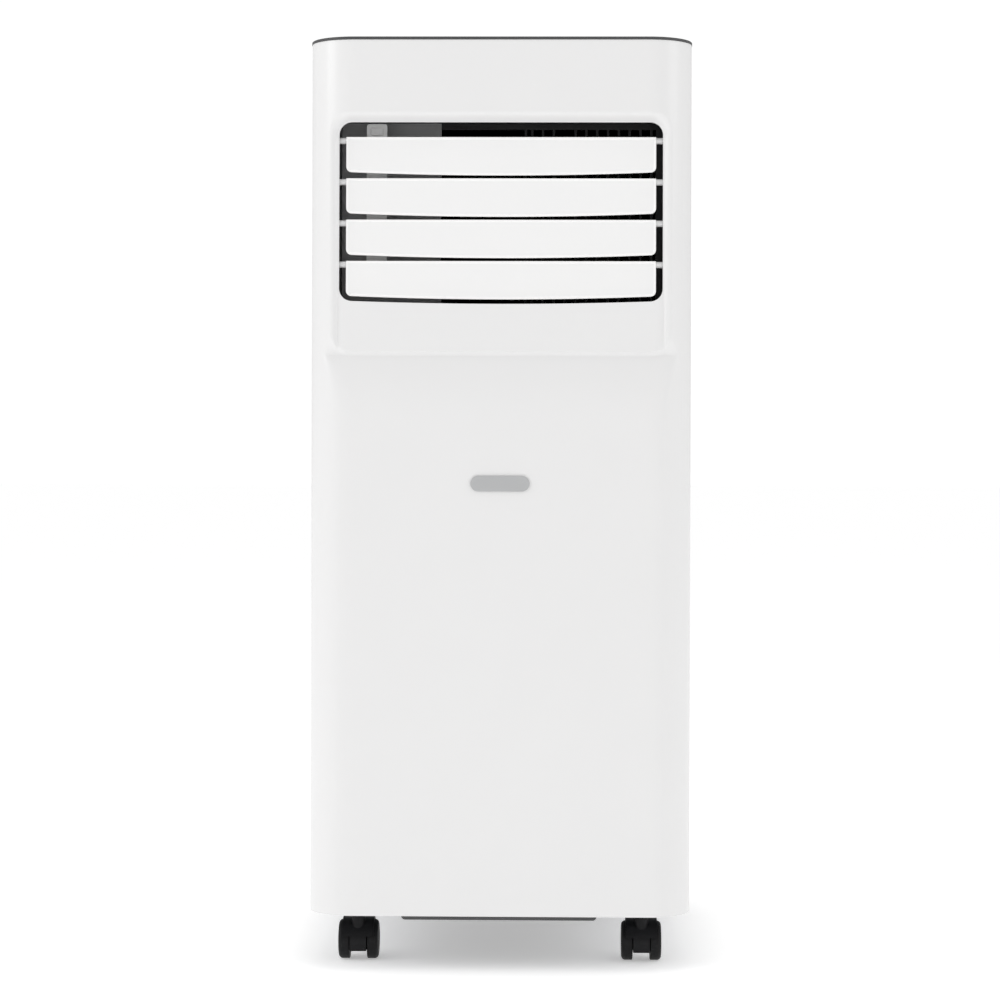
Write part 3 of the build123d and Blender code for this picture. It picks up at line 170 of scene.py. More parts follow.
def choose_faces(piece: Piece, test: FaceTest) -> None:
    """Selects the faces whose middle and normal, in metres, pass a test.

    Args:
        piece: the piece that is open in edit mode.
        test: chooses a face from its middle and normal.
    """
    mesh = bmesh.from_edit_mesh(piece.data)
    bpy.ops.mesh.select_all(action="DESELECT")
    for face in mesh.faces:
        face.select_set(test(face.calc_center_median(), face.normal))
    bmesh.update_edit_mesh(piece.data)


def choose_edges(piece: Piece, test: EdgeTest) -> None:
    """Selects the edges whose two ends, in metres, pass a test.

    Args:
        piece: the piece that is open in edit mode.
        test: chooses an edge from its two ends.
    """
    mesh = bmesh.from_edit_mesh(piece.data)
    bpy.ops.mesh.select_all(action="DESELECT")
    for edge in mesh.edges:
        edge.select_set(test(edge.verts[0].co, edge.verts[1].co))
    bmesh.update_edit_mesh(piece.data)


def choose_points(piece: Piece, test: Callable[[Vector], bool]) -> None:
    """Selects the vertices whose place, in metres, passes a test.

    Args:
        piece: the piece that is open in edit mode.
        test: chooses a vertex from its place.
    """
    mesh = bmesh.from_edit_mesh(piece.data)
    bpy.ops.mesh.select_all(action="DESELECT")
    for point in mesh.verts:
        point.select_set(test(point.co))
    mesh.select_flush_mode()
    bmesh.update_edit_mesh(piece.data)


def named(name: str) -> Piece:
    """Names the primitive just added and settles its place in its mesh.

    Args:
        name: the piece's name, and its mesh's.

    Returns:
        The piece.
    """
    piece = bpy.context.object
    piece.name = name
    piece.data.name = name
    bpy.ops.object.transform_apply(location=True, rotation=True, scale=True)
    return piece


def block(name: str, low: Triple, high: Triple) -> Piece:
    """A block between two corners given in millimetres.

    Args:
        name: the new piece's name.
        low: its lowest corner.
        high: its highest corner.

    Returns:
        The block.
    """
    deselect_all()
    low_corner, high_corner = Vector(low) * MM, Vector(high) * MM
    bpy.ops.mesh.primitive_cube_add(size=1.0, location=(low_corner + high_corner) / 2)
    bpy.context.object.scale = high_corner - low_corner
    return named(name)


def drum(
    name: str, along: Along, middle: Triple, radius: float, length: float, sides: int = 64
) -> Piece:
    """A cylinder about a middle point, sizes in millimetres.

    Args:
        name: the new piece's name.
        along: the axis that it lies along.
        middle: the middle of its axis.
        radius: its radius.
        length: its length.
        sides: how many flats stand for the round.

    Returns:
        The drum, with closed ends.
    """
    deselect_all()
    bpy.ops.mesh.primitive_cylinder_add(
        vertices=sides, radius=radius * MM, depth=length * MM,
        location=Vector(middle) * MM, rotation=along.value,
    )
    return named(name)


def rounded_sheet(name: str, middle: Triple, width: float, height: float, radius: float) -> Piece:
    """An upright sheet with rounded corners that faces the front, sizes in millimetres.

    Args:
        name: the new piece's name.
        middle: its middle.
        width: its size across.
        height: its size up.
        radius: its corner radius.

    Returns:
        The sheet, a single face.
    """
    deselect_all()
    bpy.ops.mesh.primitive_plane_add(
        size=1.0, location=Vector(middle) * MM, rotation=UPRIGHT
    )
    bpy.context.object.scale = (width * MM, height * MM, 1.0)
    sheet = named(name)
    with editing(sheet, "VERT"):
        select_all()
        bpy.ops.mesh.bevel(offset=radius * MM, segments=12, affect="VERTICES")
    return sheet


def faces_front(middle: Vector, normal: Vector) -> bool:
    """A test for faces that look to the front."""
    return normal.y < -0.9


def round_edges(piece: Piece, radius: float, segments: int, test: EdgeTest) -> None:
    """Rounds the edges whose ends pass a test, to a radius in millimetres.

    Args:
        piece: the piece to work on.
        radius: the radius of the round.
        segments: how many strips make the round.
        test: chooses an edge from its two ends.
    """
    with editing(piece, "EDGE"):
        choose_edges(piece, test)
        bpy.ops.mesh.bevel(
            offset=radius * MM, segments=segments, affect="EDGES", clamp_overlap=True
        )


def level_with(axis: Along, place: float) -> EdgeTest:
    """A test for edges that lie in the plane at a place, in millimetres, along an axis."""
    return lambda a, b: all(abs(end[axis.index] - place * MM) < TINY for end in (a, b))


def apply_modifier(piece: Piece, kind: str, **settings: object) -> None:
    """Adds a modifier with these settings and applies it.

    Args:
        piece: the piece to work on.
        kind: the modifier's type.
        settings: its settings by name.
    """
    modifier = piece.modifiers.new(kind.title(), kind)
    for key, value in settings.items():
        setattr(modifier, key, value)
    pick(piece)
    bpy.ops.object.modifier_apply(modifier=modifier.name)


def combine(piece: Piece, tool: Piece, operation: str) -> None:
    """Cuts, joins or intersects a piece with a tool, and throws the tool away."""
    apply_modifier(piece, "BOOLEAN", object=tool, operation=operation, solver="EXACT")
    bpy.data.objects.remove(tool, do_unlink=True)


def cut(piece: Piece, *tools: Piece) -> None:
    """Cuts each tool's shape out of a piece."""
    for tool in tools:
        combine(piece, tool, "DIFFERENCE")


def gather(name: str, pieces: Sequence[Piece]) -> Piece:
    """Joins several pieces into one, whose name is given.

    Args:
        name: the joined piece's name.
        pieces: the pieces, the first of which takes in the others.

    Returns:
        The joined piece.
    """
    deselect_all()
    for piece in pieces:
        piece.select_set(True)
    bpy.context.view_layer.objects.active = pieces[0]
    bpy.ops.object.join()
    pieces[0].name = name
    pieces[0].data.name = name
    return pieces[0]


def soften(piece: Piece, width: float, segments: int = 2, angle: float = 35.0) -> None:
    """Rounds every edge sharper than an angle, to a width in millimetres, and smooths the rest.

    Args:
        piece: the piece to work on.
        width: the width of the round, or 0 to leave edges as they are.
        segments: how many strips make the round.
        angle: the smallest angle that is rounded, in degrees.
    """
    if width:
        apply_modifier(
            piece, "BEVEL", width=width * MM, segments=segments, limit_method="ANGLE",
            angle_limit=math.radians(angle), use_clamp_overlap=True, miter_outer="MITER_ARC",
        )
    pick(piece)
    bpy.ops.object.shade_smooth_by_angle(angle=SMOOTH_ANGLE)
    apply_modifier(piece, "WEIGHTED_NORMAL", keep_sharp=True, weight=90)


def copy_moved(piece: Piece, name: str, shift: Triple) -> Piece:
    """A copy with its own mesh, moved by a shift in millimetres.

    Args:
        piece: the piece to copy.
        name: the copy's name.
        shift: how far the copy moves.

    Returns:
        The copy.
    """
    pick(piece)
    bpy.ops.object.duplicate()
    twin = bpy.context.object
    twin.location = Vector(shift) * MM
    return named_as(twin, name)


def named_as(piece: Piece, name: str) -> Piece:
    """Settles a moved piece's place in its mesh and names it.

    Args:
        piece: the moved piece.
        name: its new name.

    Returns:
        The same piece.
    """
    pick(piece)
    bpy.ops.object.transform_apply(location=True, rotation=True, scale=True)
    piece.name = name
    piece.data.name = name
    return piece


def recast(name: str, node: Piece, width: float, segments: int = 2) -> Piece:
    """A merged copy of a frame node with its sharp edges rounded to a width in millimetres.

    Args:
        name: the new piece's name.
        node: the frame node to copy.
        width: the width of the round.
        segments: how many strips make the round.

    Returns:
        The copy, at the origin and free of the frame.
    """
    twin = node.copy()
    twin.data = node.data.copy()
    for key in list(twin.keys()):
        del twin[key]
    twin.parent = None
    twin.matrix_world = Matrix.Identity(4)
    bpy.context.scene.collection.objects.link(twin)
    twin.data.materials.clear()
    with editing(twin):
        select_all()
        bpy.ops.mesh.remove_doubles(threshold=WELD)
        bpy.ops.mesh.customdata_custom_splitnormals_clear()
        bpy.ops.mesh.dissolve_limited(angle_limit=FLAT_ANGLE)
    soften(twin, width, segments)
    twin.name = name
    twin.data.name = name
    return twin


# ---- finishes ------------------------------------------------------------------------


@dataclass(frozen=True)
class Finish:
    """A moulded or painted surface: colour with faint mottling, gloss and a fine grain."""

    name: str
    color: Triple
    roughness: float = 0.45
    metallic: float = 0.0
    coat: float = 0.0
    specular: float = 0.5
    mottle: float = 0.03
    mottle_scale: float = 18.0
    grain_scale: float = 1400.0
    grain_depth: float = 0.02
    grain_strength: float = 0.2

    def material(self) -> bpy.types.Material:
        """The finish as a material, made once.

        Returns:
            The material, new or already made.
        """
        title = f"{self.name}_surface"
        known = bpy.data.materials.get(title)
        if known:
            return known
        made = bpy.data.materials.new(title)
        made.use_nodes = True
        tree = made.node_tree
        shader = tree.nodes["Principled BSDF"]
        shader.inputs["Metallic"].default_value = self.metallic
        shader.inputs["Coat Weight"].default_value = self.coat
        shader.inputs["Coat Roughness"].default_value = 0.12
        shader.inputs["Specular IOR Level"].default_value = self.specular
        place = tree.nodes.new("ShaderNodeTexCoord").outputs["Object"]
        self.paint(tree, shader, place)
        self.texture(tree, shader, place)
        made.diffuse_color = (*self.color, 1.0)
        return made

    def noise(self, tree: Tree, place: Socket, scale: float) -> Node:
        """A noise texture at a scale, on the object's own coordinates.

        Args:
            tree: the material's node tree.
            place: the socket that gives the object's own coordinates.
            scale: how fine the noise is.

        Returns:
            The noise node.
        """
        noise = tree.nodes.new("ShaderNodeTexNoise")
        noise.inputs["Scale"].default_value = scale
        noise.inputs["Detail"].default_value = 4.0
        tree.links.new(place, noise.inputs["Vector"])
        return noise

    def ramp(
        self, tree: Tree, factor: Socket,
        first: Triple, second: Triple, low: float = 0.3, high: float = 0.7,
    ) -> Socket:
        """A blend of two colours by a factor, between two stops.

        Args:
            tree: the material's node tree.
            factor: the socket that drives the blend.
            first: the colour at and below the lower stop.
            second: the colour at and above the upper stop.
            low: the lower stop.
            high: the upper stop.

        Returns:
            The socket that gives the colour.
        """
        ramp = tree.nodes.new("ShaderNodeValToRGB")
        ramp.color_ramp.elements[0].position = low
        ramp.color_ramp.elements[1].position = high
        ramp.color_ramp.elements[0].color = (*first, 1.0)
        ramp.color_ramp.elements[1].color = (*second, 1.0)
        tree.links.new(factor, ramp.inputs["Fac"])
        return ramp.outputs["Color"]

    def paint(
        self, tree: Tree, shader: Node, place: Socket
    ) -> None:
        """Colour with faint mottling, and gloss that follows it.

        Args:
            tree: the material's node tree.
            shader: its main shader node.
            place: the socket that gives the object's own coordinates.
        """
        noise = self.noise(tree, place, self.mottle_scale)
        darker = tuple(part * (1.0 - self.mottle) for part in self.color)
        color = self.ramp(tree, noise.outputs["Fac"], darker, self.color)
        tree.links.new(color, shader.inputs["Base Color"])
        gloss = tree.nodes.new("ShaderNodeMapRange")
        gloss.inputs["To Min"].default_value = self.roughness * 0.93
        gloss.inputs["To Max"].default_value = self.roughness * 1.07
        tree.links.new(noise.outputs["Fac"], gloss.inputs["Value"])
        tree.links.new(gloss.outputs["Result"], shader.inputs["Roughness"])

    def texture(
        self, tree: Tree, shader: Node, place: Socket
    ) -> None:
        """The fine grain of the mould."""
        self.emboss(tree, shader, self.noise(tree, place, self.grain_scale).outputs["Fac"])

    def emboss(
        self, tree: Tree, shader: Node, height: Socket
    ) -> None:
        """Turns a height pattern into the surface's relief.

        Args:
            tree: the material's node tree.
            shader: its main shader node.
            height: the socket that gives the pattern.
        """
        bump = tree.nodes.new("ShaderNodeBump")
        bump.inputs["Strength"].default_value = self.grain_strength
        bump.inputs["Distance"].default_value = self.grain_depth * MM
        tree.links.new(height, bump.inputs["Height"])
        tree.links.new(bump.outputs["Normal"], shader.inputs["Normal"])


@dataclass(frozen=True)
class MeshFinish(Finish):
    """A fine woven filter: light threads over gaps filled with painted shade."""

    thread_scale: float = 520.0
    # painted shade: the near-black colour in the gaps between threads
    painted_gap_shade: Triple = (0.02, 0.02, 0.022)

    def threads(
        self, tree: Tree, place: Socket, direction: str
    ) -> Socket:
        """One set of parallel threads.

        Args:
            tree: the material's node tree.
            place: the socket that gives the object's own coordinates.
            direction: the axis that the threads are counted along.

        Returns:
            The socket that is bright on a thread.
        """
        wave = tree.nodes.new("ShaderNodeTexWave")
        wave.bands_direction = direction
        wave.inputs["Scale"].default_value = self.thread_scale
        tree.links.new(place, wave.inputs["Vector"])
        return wave.outputs["Fac"]

    def paint(
        self, tree: Tree, shader: Node, place: Socket
    ) -> None:
        """Threads both ways over gaps in painted shade.

        Args:
            tree: the material's node tree.
            shader: its main shader node.
            place: the socket that gives the object's own coordinates.
        """
        shader.inputs["Roughness"].default_value = self.roughness
        weave = tree.nodes.new("ShaderNodeMath")
        weave.operation = "MAXIMUM"
        tree.links.new(self.threads(tree, place, "X"), weave.inputs[0])
        tree.links.new(self.threads(tree, place, "Z"), weave.inputs[1])
        color = self.ramp(tree, weave.outputs["Value"], self.painted_gap_shade, self.color, 0.55, 0.8)
        tree.links.new(color, shader.inputs["Base Color"])


@dataclass(frozen=True)
class FinFinish(Finish):
    """A stack of thin bright fins, with painted shade between them."""

    fin_scale: float = 160.0
    # painted shade: the near-black colour between the fins
    painted_gap_shade: Triple = (0.05, 0.05, 0.055)

    def paint(
        self, tree: Tree, shader: Node, place: Socket
    ) -> None:
        """Fins across X, a little bent by handling, with painted shade between them.

        Args:
            tree: the material's node tree.
            shader: its main shader node.
            place: the socket that gives the object's own coordinates.
        """
        shader.inputs["Roughness"].default_value = self.roughness
        wave = tree.nodes.new("ShaderNodeTexWave")
        wave.bands_direction = "X"
        wave.inputs["Scale"].default_value = self.fin_scale
        wave.inputs["Distortion"].default_value = 0.3
        tree.links.new(place, wave.inputs["Vector"])
        color = self.ramp(tree, wave.outputs["Fac"], self.painted_gap_shade, self.color, 0.2, 0.6)
        tree.links.new(color, shader.inputs["Base Color"])


@dataclass(frozen=True)
class BoardFinish(Finish):
    """A circuit board: solder mask with paler copper tracks under it."""

    track_color: Triple = (0.06, 0.35, 0.16)

    def paint(
        self, tree: Tree, shader: Node, place: Socket
    ) -> None:
        """Tracks in a square-cornered cell pattern.

        Args:
            tree: the material's node tree.
            shader: its main shader node.
            place: the socket that gives the object's own coordinates.
        """
        shader.inputs["Roughness"].default_value = self.roughness
        cells = tree.nodes.new("ShaderNodeTexVoronoi")
        cells.feature = "DISTANCE_TO_EDGE"
        cells.inputs["Scale"].default_value = 160.0
        tree.links.new(place, cells.inputs["Vector"])
        color = self.ramp(tree, cells.outputs["Distance"], self.track_color, self.color, 0.06, 0.1)
        tree.links.new(color, shader.inputs["Base Color"])


@dataclass(frozen=True)
class LampFinish(Finish):
    """A softly lit display segment."""

    glow: float = 0.8

    def paint(
        self, tree: Tree, shader: Node, place: Socket
    ) -> None:
        """The lit colour, over the mottled one.

        Args:
            tree: the material's node tree.
            shader: its main shader node.
            place: the socket that gives the object's own coordinates.
        """
        super().paint(tree, shader, place)
        shader.inputs["Emission Color"].default_value = (*self.color, 1.0)
        shader.inputs["Emission Strength"].default_value = self.glow


WHITE_CASING = Finish(
    "white_casing", (0.83, 0.827, 0.826), roughness=0.34, coat=0.15, mottle=0.008,
    grain_scale=900.0, grain_depth=0.012,
)
WHITE_LOUVER = Finish(
    "white_louver", (0.898, 0.896, 0.893), roughness=0.3, coat=0.2, mottle=0.006, grain_depth=0.008
)
# painted highlight: a lighter white for the louvre rims, standing for the bright light along their
# edges
RIM_PAINTED_HIGHLIGHT = Finish(
    "rim_painted_highlight", (0.965, 0.96, 0.954), roughness=0.22, coat=0.4, mottle=0.004, grain_depth=0.006
)
# painted light: the link and its clip take a lighter white than the louvres of the same plastic,
# standing for light reaching them in the recess
LINK_PAINTED_LIGHT = Finish(
    "link_painted_light", (0.95, 0.948, 0.942), roughness=0.35, coat=0.2, mottle=0.006, grain_depth=0.01
)
DARK_TOP = Finish("dark_top", (0.067, 0.067, 0.069), roughness=0.52, mottle=0.12, grain_depth=0.05)
BLACK_GLOSS = Finish("gloss_fascia", (0.012, 0.012, 0.014), roughness=0.12, coat=0.6, mottle=0.1)
SMOKED = Finish("display_glass", (0.008, 0.008, 0.012), roughness=0.06, coat=1.0, mottle=0.1)
LEGEND = Finish("legend", (0.72, 0.73, 0.74), roughness=0.5, mottle=0.03)
LIT_SEGMENT = LampFinish("lit_segment", (0.55, 0.8, 1.0), roughness=0.4)
KEY_GREY = Finish("key_grey", (0.16, 0.165, 0.17), roughness=0.42, mottle=0.06, grain_depth=0.03)
BADGE_GREY = Finish(
    "grey_badge", (0.5, 0.505, 0.51), roughness=0.3, coat=0.3, metallic=0.3, mottle=0.06
)
GUARD_BLACK = Finish(
    "guard_black", (0.028, 0.028, 0.03), roughness=0.5, mottle=0.15, grain_depth=0.05
)
# painted light: a lighter grey for the guard's left plate, standing for light falling on it from
# the left
GUARD_PAINTED_LIGHT = Finish("guard_painted_light", (0.5, 0.5, 0.505), roughness=0.5, mottle=0.05, grain_depth=0.04)
DUCT_GREY = Finish("dark_duct", (0.075, 0.075, 0.08), roughness=0.55, mottle=0.15, grain_depth=0.05)
CASTER_BLACK = Finish(
    "black_plastic", (0.009, 0.009, 0.01), roughness=0.4, specular=0.18, mottle=0.2,
    grain_scale=700.0, grain_depth=0.05,
)
TREAD = Finish(
    "caster_tread", (0.011, 0.011, 0.012), roughness=0.5, specular=0.18, mottle=0.35,
    mottle_scale=60.0, grain_scale=500.0, grain_depth=0.08,
)
ZINC = Finish(
    "zinc_steel", (0.6, 0.61, 0.63), roughness=0.32, metallic=1.0, mottle=0.15, mottle_scale=40.0
)
RUBBER = Finish("black_rubber", (0.02, 0.02, 0.021), roughness=0.7, mottle=0.15, grain_depth=0.06)
PAN_STEEL = Finish(
    "galvanised_pan", (0.5, 0.51, 0.53), roughness=0.42, metallic=0.9, mottle=0.3, mottle_scale=90.0
)
FOAM = Finish(
    "foam_tray", (0.7, 0.71, 0.72), roughness=0.8, mottle=0.08, grain_scale=260.0, grain_depth=0.3
)
ENAMEL = Finish("black_enamel", (0.01, 0.01, 0.011), roughness=0.2, coat=0.5, mottle=0.2)
COPPER = Finish(
    "copper_pipe", (0.75, 0.33, 0.2), roughness=0.28, metallic=1.0, mottle=0.3, mottle_scale=70.0
)
FILTER_MESH = MeshFinish("filter_mesh", (0.16, 0.165, 0.17), roughness=0.7)
COIL_FINS = FinFinish("coil_fins", (0.72, 0.73, 0.75), roughness=0.35, metallic=0.8)
BOARD_GREEN = BoardFinish("circuit_board", (0.02, 0.16, 0.07), roughness=0.35)


def dress(piece: Piece, finish: Finish) -> None:
    """Gives a piece one finish."""
    piece.data.materials.clear()
    piece.data.materials.append(finish.material())


def retouch(piece: Piece, finish: Finish, test: Callable[[Vector, Vector], bool]) -> None:
    """Gives the chosen faces of a finished piece a second finish.

    Args:
        piece: the piece.
        finish: the second finish.
        test: chooses a face from its middle, in metres, and its normal.
    """
    piece.data.materials.append(finish.material())
    with editing(piece):
        choose_faces(piece, test)
        piece.active_material_index = len(piece.data.materials) - 1
        bpy.ops.object.material_slot_assign()


@dataclass
class Model:
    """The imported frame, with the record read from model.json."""

    frame: dict

    def span(self, node: str) -> tuple[Vector, Vector]:
        """A node's lowest and highest corner, in millimetres."""
        low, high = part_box(node)
        return low / MM, high / MM

    def install(self, piece: Piece, body: str, finish: Finish, slot: str, *nodes: str) -> Piece:
        """Finishes a piece, hangs it on its body and stands it in for its frame nodes.

        Args:
            piece: the finished piece.
            body: the body that it moves with.
            finish: its surface.
            slot: the record's material slot; not used.
            nodes: the frame nodes that it stands for.

        Returns:
            The same piece.
        """
        dress(piece, finish)
        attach(piece, body)
        if nodes:
            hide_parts(*nodes)
        log.info("%s rides on %s", piece.name, body)
        return piece

    def refit(
        self, node: str, body: str, finish: Finish, slot: str, width: float = 0.5, segments: int = 2
    ) -> Piece:
        """Replaces a frame node by a merged copy of itself with rounded edges.

        Args:
            node: the frame node.
            body: the body that it moves with.
            finish: its surface.
            slot: the record's material slot.
            width: the width of its rounded edges.
            segments: how many strips make the round.

        Returns:
            The finished piece.
        """
        piece = recast(f"{node}_finished", self.frame["nodes"][node], width, segments)
        return self.install(piece, body, finish, slot, node)

    def keep(self, finish: Finish, *nodes: str) -> None:
        """Gives frame nodes that stay as they are a better surface.

        Args:
            finish: their surface.
            nodes: the frame nodes.
        """
        for node in nodes:
            dress(self.frame["nodes"][node], finish)
            log.info("%s keeps its shape", node)


# ---- casing --------------------------------------------------------------------------


def soft_max(first: float, second: float, blend: float) -> float:
    """The larger of two values, with the corner between them rounded over a blend width."""
    overlap = max(blend - abs(first - second), 0.0)
    return max(first, second) + overlap * overlap / (4.0 * blend)


def soft_min(first: float, second: float, blend: float) -> float:
    """The smaller of two values, with the corner between them rounded over a blend width."""
    return -soft_max(-first, -second, blend)


def ease(value: float, low: float, high: float) -> float:
    """Runs smoothly from 0 to 1 as a value goes from low to high."""
    share = min(max((value - low) / (high - low), 0.0), 1.0)
    return share * share * (3.0 - 2.0 * share)


def spread(low: float, high: float, step: float) -> list[float]:
    """Even stations from low up to, but not at, high, no further apart than a step."""
    count = max(1, math.ceil((high - low) / step))
    return [low + (high - low) * index / count for index in range(count)]


@dataclass
class FrontShell:
    """The front cover: one moulded skin with the sunk louvre panel, its lip and the scoop.

    Depths are measured back from the flat front.
    """

    model: Model
    corner: float = 35.0
    wall: float = 2.5
    lip: float = 482.8
    lip_depth: float = 5.8
    lip_corner: float = 14.0
    lip_half: float = 131.5
    lip_drop: float = 4.6
    panel_depth: float = 8.2
    panel_half: float = 127.2
    panel_corner: float = 11.0
    wall_slope: float = 1.73
    top_roll: float = 3.5
    side_roll: float = 10.0
    floor_fillet: float = 0.9
    scoop_low: float = 432.0
    scoop_high: float = 480.0
    scoop_radius: float = 143.0
    scoop_roll: float = 3.0
    horn: float = 16.5
    opening_top: float = 661.8
    opening_bottom: float = 522.0
    opening_width: float = 252.4
    opening_corner: float = 10.0
    opening_bow: float = 2.0
    opening_reach: float = 30.0
    relief_half: float = 140.0
    rim_rise: float = 0.4
    roll_from: float = 116.0
    roll_to: float = 131.0
    horn_fade: float = 1.6
    crest_rise: float = 5.0
    crest_fade: float = 10.0
    plain_half: float = 112.0
    column_step: float = 0.8
    middle_step: float = 14.0
    side_step: float = 20.0
    turn_step: float = math.radians(3.2)
    coplanar: float = math.radians(0.02)
    edge_round: float = 0.7
    low: Vector = field(init=False)
    high: Vector = field(init=False)

    def __post_init__(self) -> None:
        """Reads the shell's box from the frame."""
        self.low, self.high = self.model.span("front_cover")

    @property
    def front(self) -> float:
        """Where the front face lies along Y."""
        return self.low.y

    @property
    def slope(self) -> float:
        """How fast the louvre panel sinks as it rises."""
        return (self.panel_depth - self.lip_depth) / (self.opening_top - self.lip)

    def outline_distance(self, x: float, rise: float, half: float, corner: float) -> float:
        """How far a point lies outside a round-cornered outline that is open at its far end.

        Args:
            x: the point's place across.
            rise: how far it is past the outline's closed end, negative inside.
            half: half the outline's width.
            corner: the outline's corner radius.

        Returns:
            The distance, negative inside.
        """
        across, along = abs(x) - half + corner, rise + corner
        outside = math.hypot(max(across, 0.0), max(along, 0.0))
        return outside + min(max(across, along), 0.0) - corner

    def scoop(self, z: float) -> float:
        """The scoop's depth: an arc that leaves the flat front, then comes forward again.

        Args:
            z: the height to look at.

        Returns:
            The depth there.
        """
        if z <= self.scoop_low:
            return 0.0
        rise = min(z, self.scoop_high) - self.scoop_low
        depth = self.scoop_radius - math.sqrt(self.scoop_radius**2 - rise * rise)
        faded = self.scoop_high + self.horn_fade * self.horn
        return depth * (1.0 - ease(z, self.scoop_high, faded))

    def relief(self, x: float, z: float, base: float) -> float:
        """The finished surface's depth at a place where the plain shell's depth is base.

        Args:
            x: the place across.
            z: the height.
            base: the plain shell's depth there.

        Returns:
            The finished depth, never ahead of the plain shell.
        """
        floor = self.lip_depth + (z - self.lip) * self.slope
        rise = z - self.opening_top - self.rim_rise
        away = self.outline_distance(x, rise, self.panel_half, self.panel_corner)
        sideways = ease(abs(x), self.roll_from, self.roll_to)
        roll = self.top_roll + (self.side_roll - self.top_roll) * sideways
        basin = soft_min(floor, floor - self.wall_slope * away, self.floor_fillet)
        sunk = soft_max(base, basin, roll)
        scooped = soft_max(base, self.scoop(z), self.scoop_roll)
        below = self.outline_distance(x, self.lip - z, self.lip_half, self.lip_corner)
        left = 1.0 - min(max(below / self.lip_drop, 0.0), 1.0)
        crest = self.lip + self.horn + self.crest_rise
        share = (1.0 - left * left) * ease(crest - z, 0.0, self.crest_fade)
        return max(sunk + (scooped - sunk) * share, base)

    def stations(self) -> list[tuple[float, float]]:
        """The plain shell's (x, y) section, from the left seam round to the right seam.

        Returns:
            The stations in order, fine beside the panel and coarse elsewhere.
        """
        half = self.high.x
        flat = half - self.corner
        center_y = self.front + self.corner
        turned = math.asin((self.relief_half - flat) / self.corner)
        side = [(half, self.high.y)]
        side += [(half, y) for y in reversed(spread(center_y, self.high.y, self.side_step)[1:])]
        side.append((half, center_y))
        for angle in reversed(spread(turned, math.pi / 2, self.turn_step)):
            across, back = self.corner * math.sin(angle), self.corner * math.cos(angle)
            side.append((flat + across, center_y - back))
        for x in reversed(spread(self.plain_half, self.relief_half, self.column_step)):
            reach = max(x - flat, 0.0)
            side.append((x, center_y - math.sqrt(self.corner**2 - reach * reach)))
        inner = spread(-self.plain_half, self.plain_half, self.middle_step)[1:]
        middle = [(x, self.front) for x in inner]
        left = [(-x, y) for x, y in side]
        return left + middle + list(reversed(side))

    def levels(self) -> list[float]:
        """The heights of the skin's rows, close together where the relief turns.

        Returns:
            The heights from the bottom edge to the top edge.
        """
        bands = (
            (self.low.z, 100.0),
            (self.scoop_low - 6, 1.5),
            (self.lip - 9, 0.5),
            (self.lip + 2, 1.0),
            (self.lip + self.horn + 12, 25.0),
            (self.opening_top - 14, 0.7),
            (self.opening_top + 14, 50.0),
        )
        ends = [start for start, _ in bands[1:]] + [self.high.z]
        rows: list[float] = []
        for (start, step), end in zip(bands, ends):
            rows += spread(start, end, step)
        return [*rows, self.high.z]

    def skin(self) -> Piece:
        """A fine grid wrapped round the shell's section and pressed into the relief.

        Returns:
            The skin, with its faces to the outside.
        """
        stations, levels = self.stations(), self.levels()
        across, up = len(stations) - 1, len(levels) - 1
        deselect_all()
        bpy.ops.mesh.primitive_grid_add(x_subdivisions=across, y_subdivisions=up, size=1.0)
        sheet = named("front_shell")
        with editing(sheet, "VERT"):
            mesh = bmesh.from_edit_mesh(sheet.data)
            for point in mesh.verts:
                x, y = stations[round((point.co.x + 0.5) * across)]
                z = levels[round((point.co.y + 0.5) * up)]
                if abs(x) < self.relief_half:
                    y = self.front + self.relief(x, z, y - self.front)
                point.co = Vector((x, y, z)) * MM
            select_all()
            bpy.ops.mesh.remove_doubles(threshold=TINY)
            select_all()
            bpy.ops.mesh.dissolve_limited(angle_limit=self.coplanar)
            face_outwards()
        brow = (self.opening_top + self.high.z) / 2 * MM
        reach = self.plain_half * MM
        above = [f for f in sheet.data.polygons if f.center.z > brow and abs(f.center.x) < reach]
        if above and above[0].normal.y > 0:
            with editing(sheet):
                select_all()
                bpy.ops.mesh.flip_normals()
        return sheet

    def opening_tool(self) -> Piece:
        """The outlet, whose lower edge bows down in the middle.

        Returns:
            The tool that cuts it.
        """
        height = self.opening_top - self.opening_bottom
        middle_z = (self.opening_top + self.opening_bottom) / 2
        tool = rounded_sheet(
            "opening_tool", (0, self.front - 4, middle_z),
            self.opening_width, height, self.opening_corner,
        )
        with editing(tool):
            draw_out(self.opening_reach)
            face_outwards()
        reach = self.opening_width / 2 - self.opening_corner
        radius = (reach**2 + self.opening_bow**2) / (2 * self.opening_bow)
        lowest = self.opening_bottom - self.opening_bow
        bow = drum(
            "opening_bow", Along.Y, (0, self.front + 11, lowest + radius), radius,
            self.opening_reach - 0.5, 1800,
        )
        keep = block(
            "bow_keep", (-reach, self.front - 3, lowest - 1),
            (reach, self.front + 25, self.opening_bottom + 5),
        )
        combine(bow, keep, "INTERSECT")
        combine(tool, bow, "UNION")
        return tool

    def thicken(self, sheet: Piece) -> None:
        """Extrudes the skin into a wall, whose inner side moves square to the plain shell.

        Args:
            sheet: the skin to thicken.
        """
        flat = self.high.x - self.corner
        with editing(sheet, "VERT"):
            draw_out(0.0)
            mesh = bmesh.from_edit_mesh(sheet.data)
            for point in mesh.verts:
                if point.select:
                    turned = min(max(abs(point.co.x) / MM - flat, 0.0) / self.corner, 1.0)
                    inward = -math.copysign(turned, point.co.x)
                    back = math.sqrt(1.0 - turned * turned)
                    point.co += Vector((inward, back, 0.0)) * self.wall * MM
            face_outwards()

    def build(self) -> None:
        """Gives the skin its wall, cuts the outlet and fits the shell."""
        shell = self.skin()
        self.thicken(shell)
        cut(shell, self.opening_tool())
        soften(shell, self.edge_round, 3, angle=60.0)
        self.model.install(shell, "casing", WHITE_CASING, "white_casing", "front_cover")


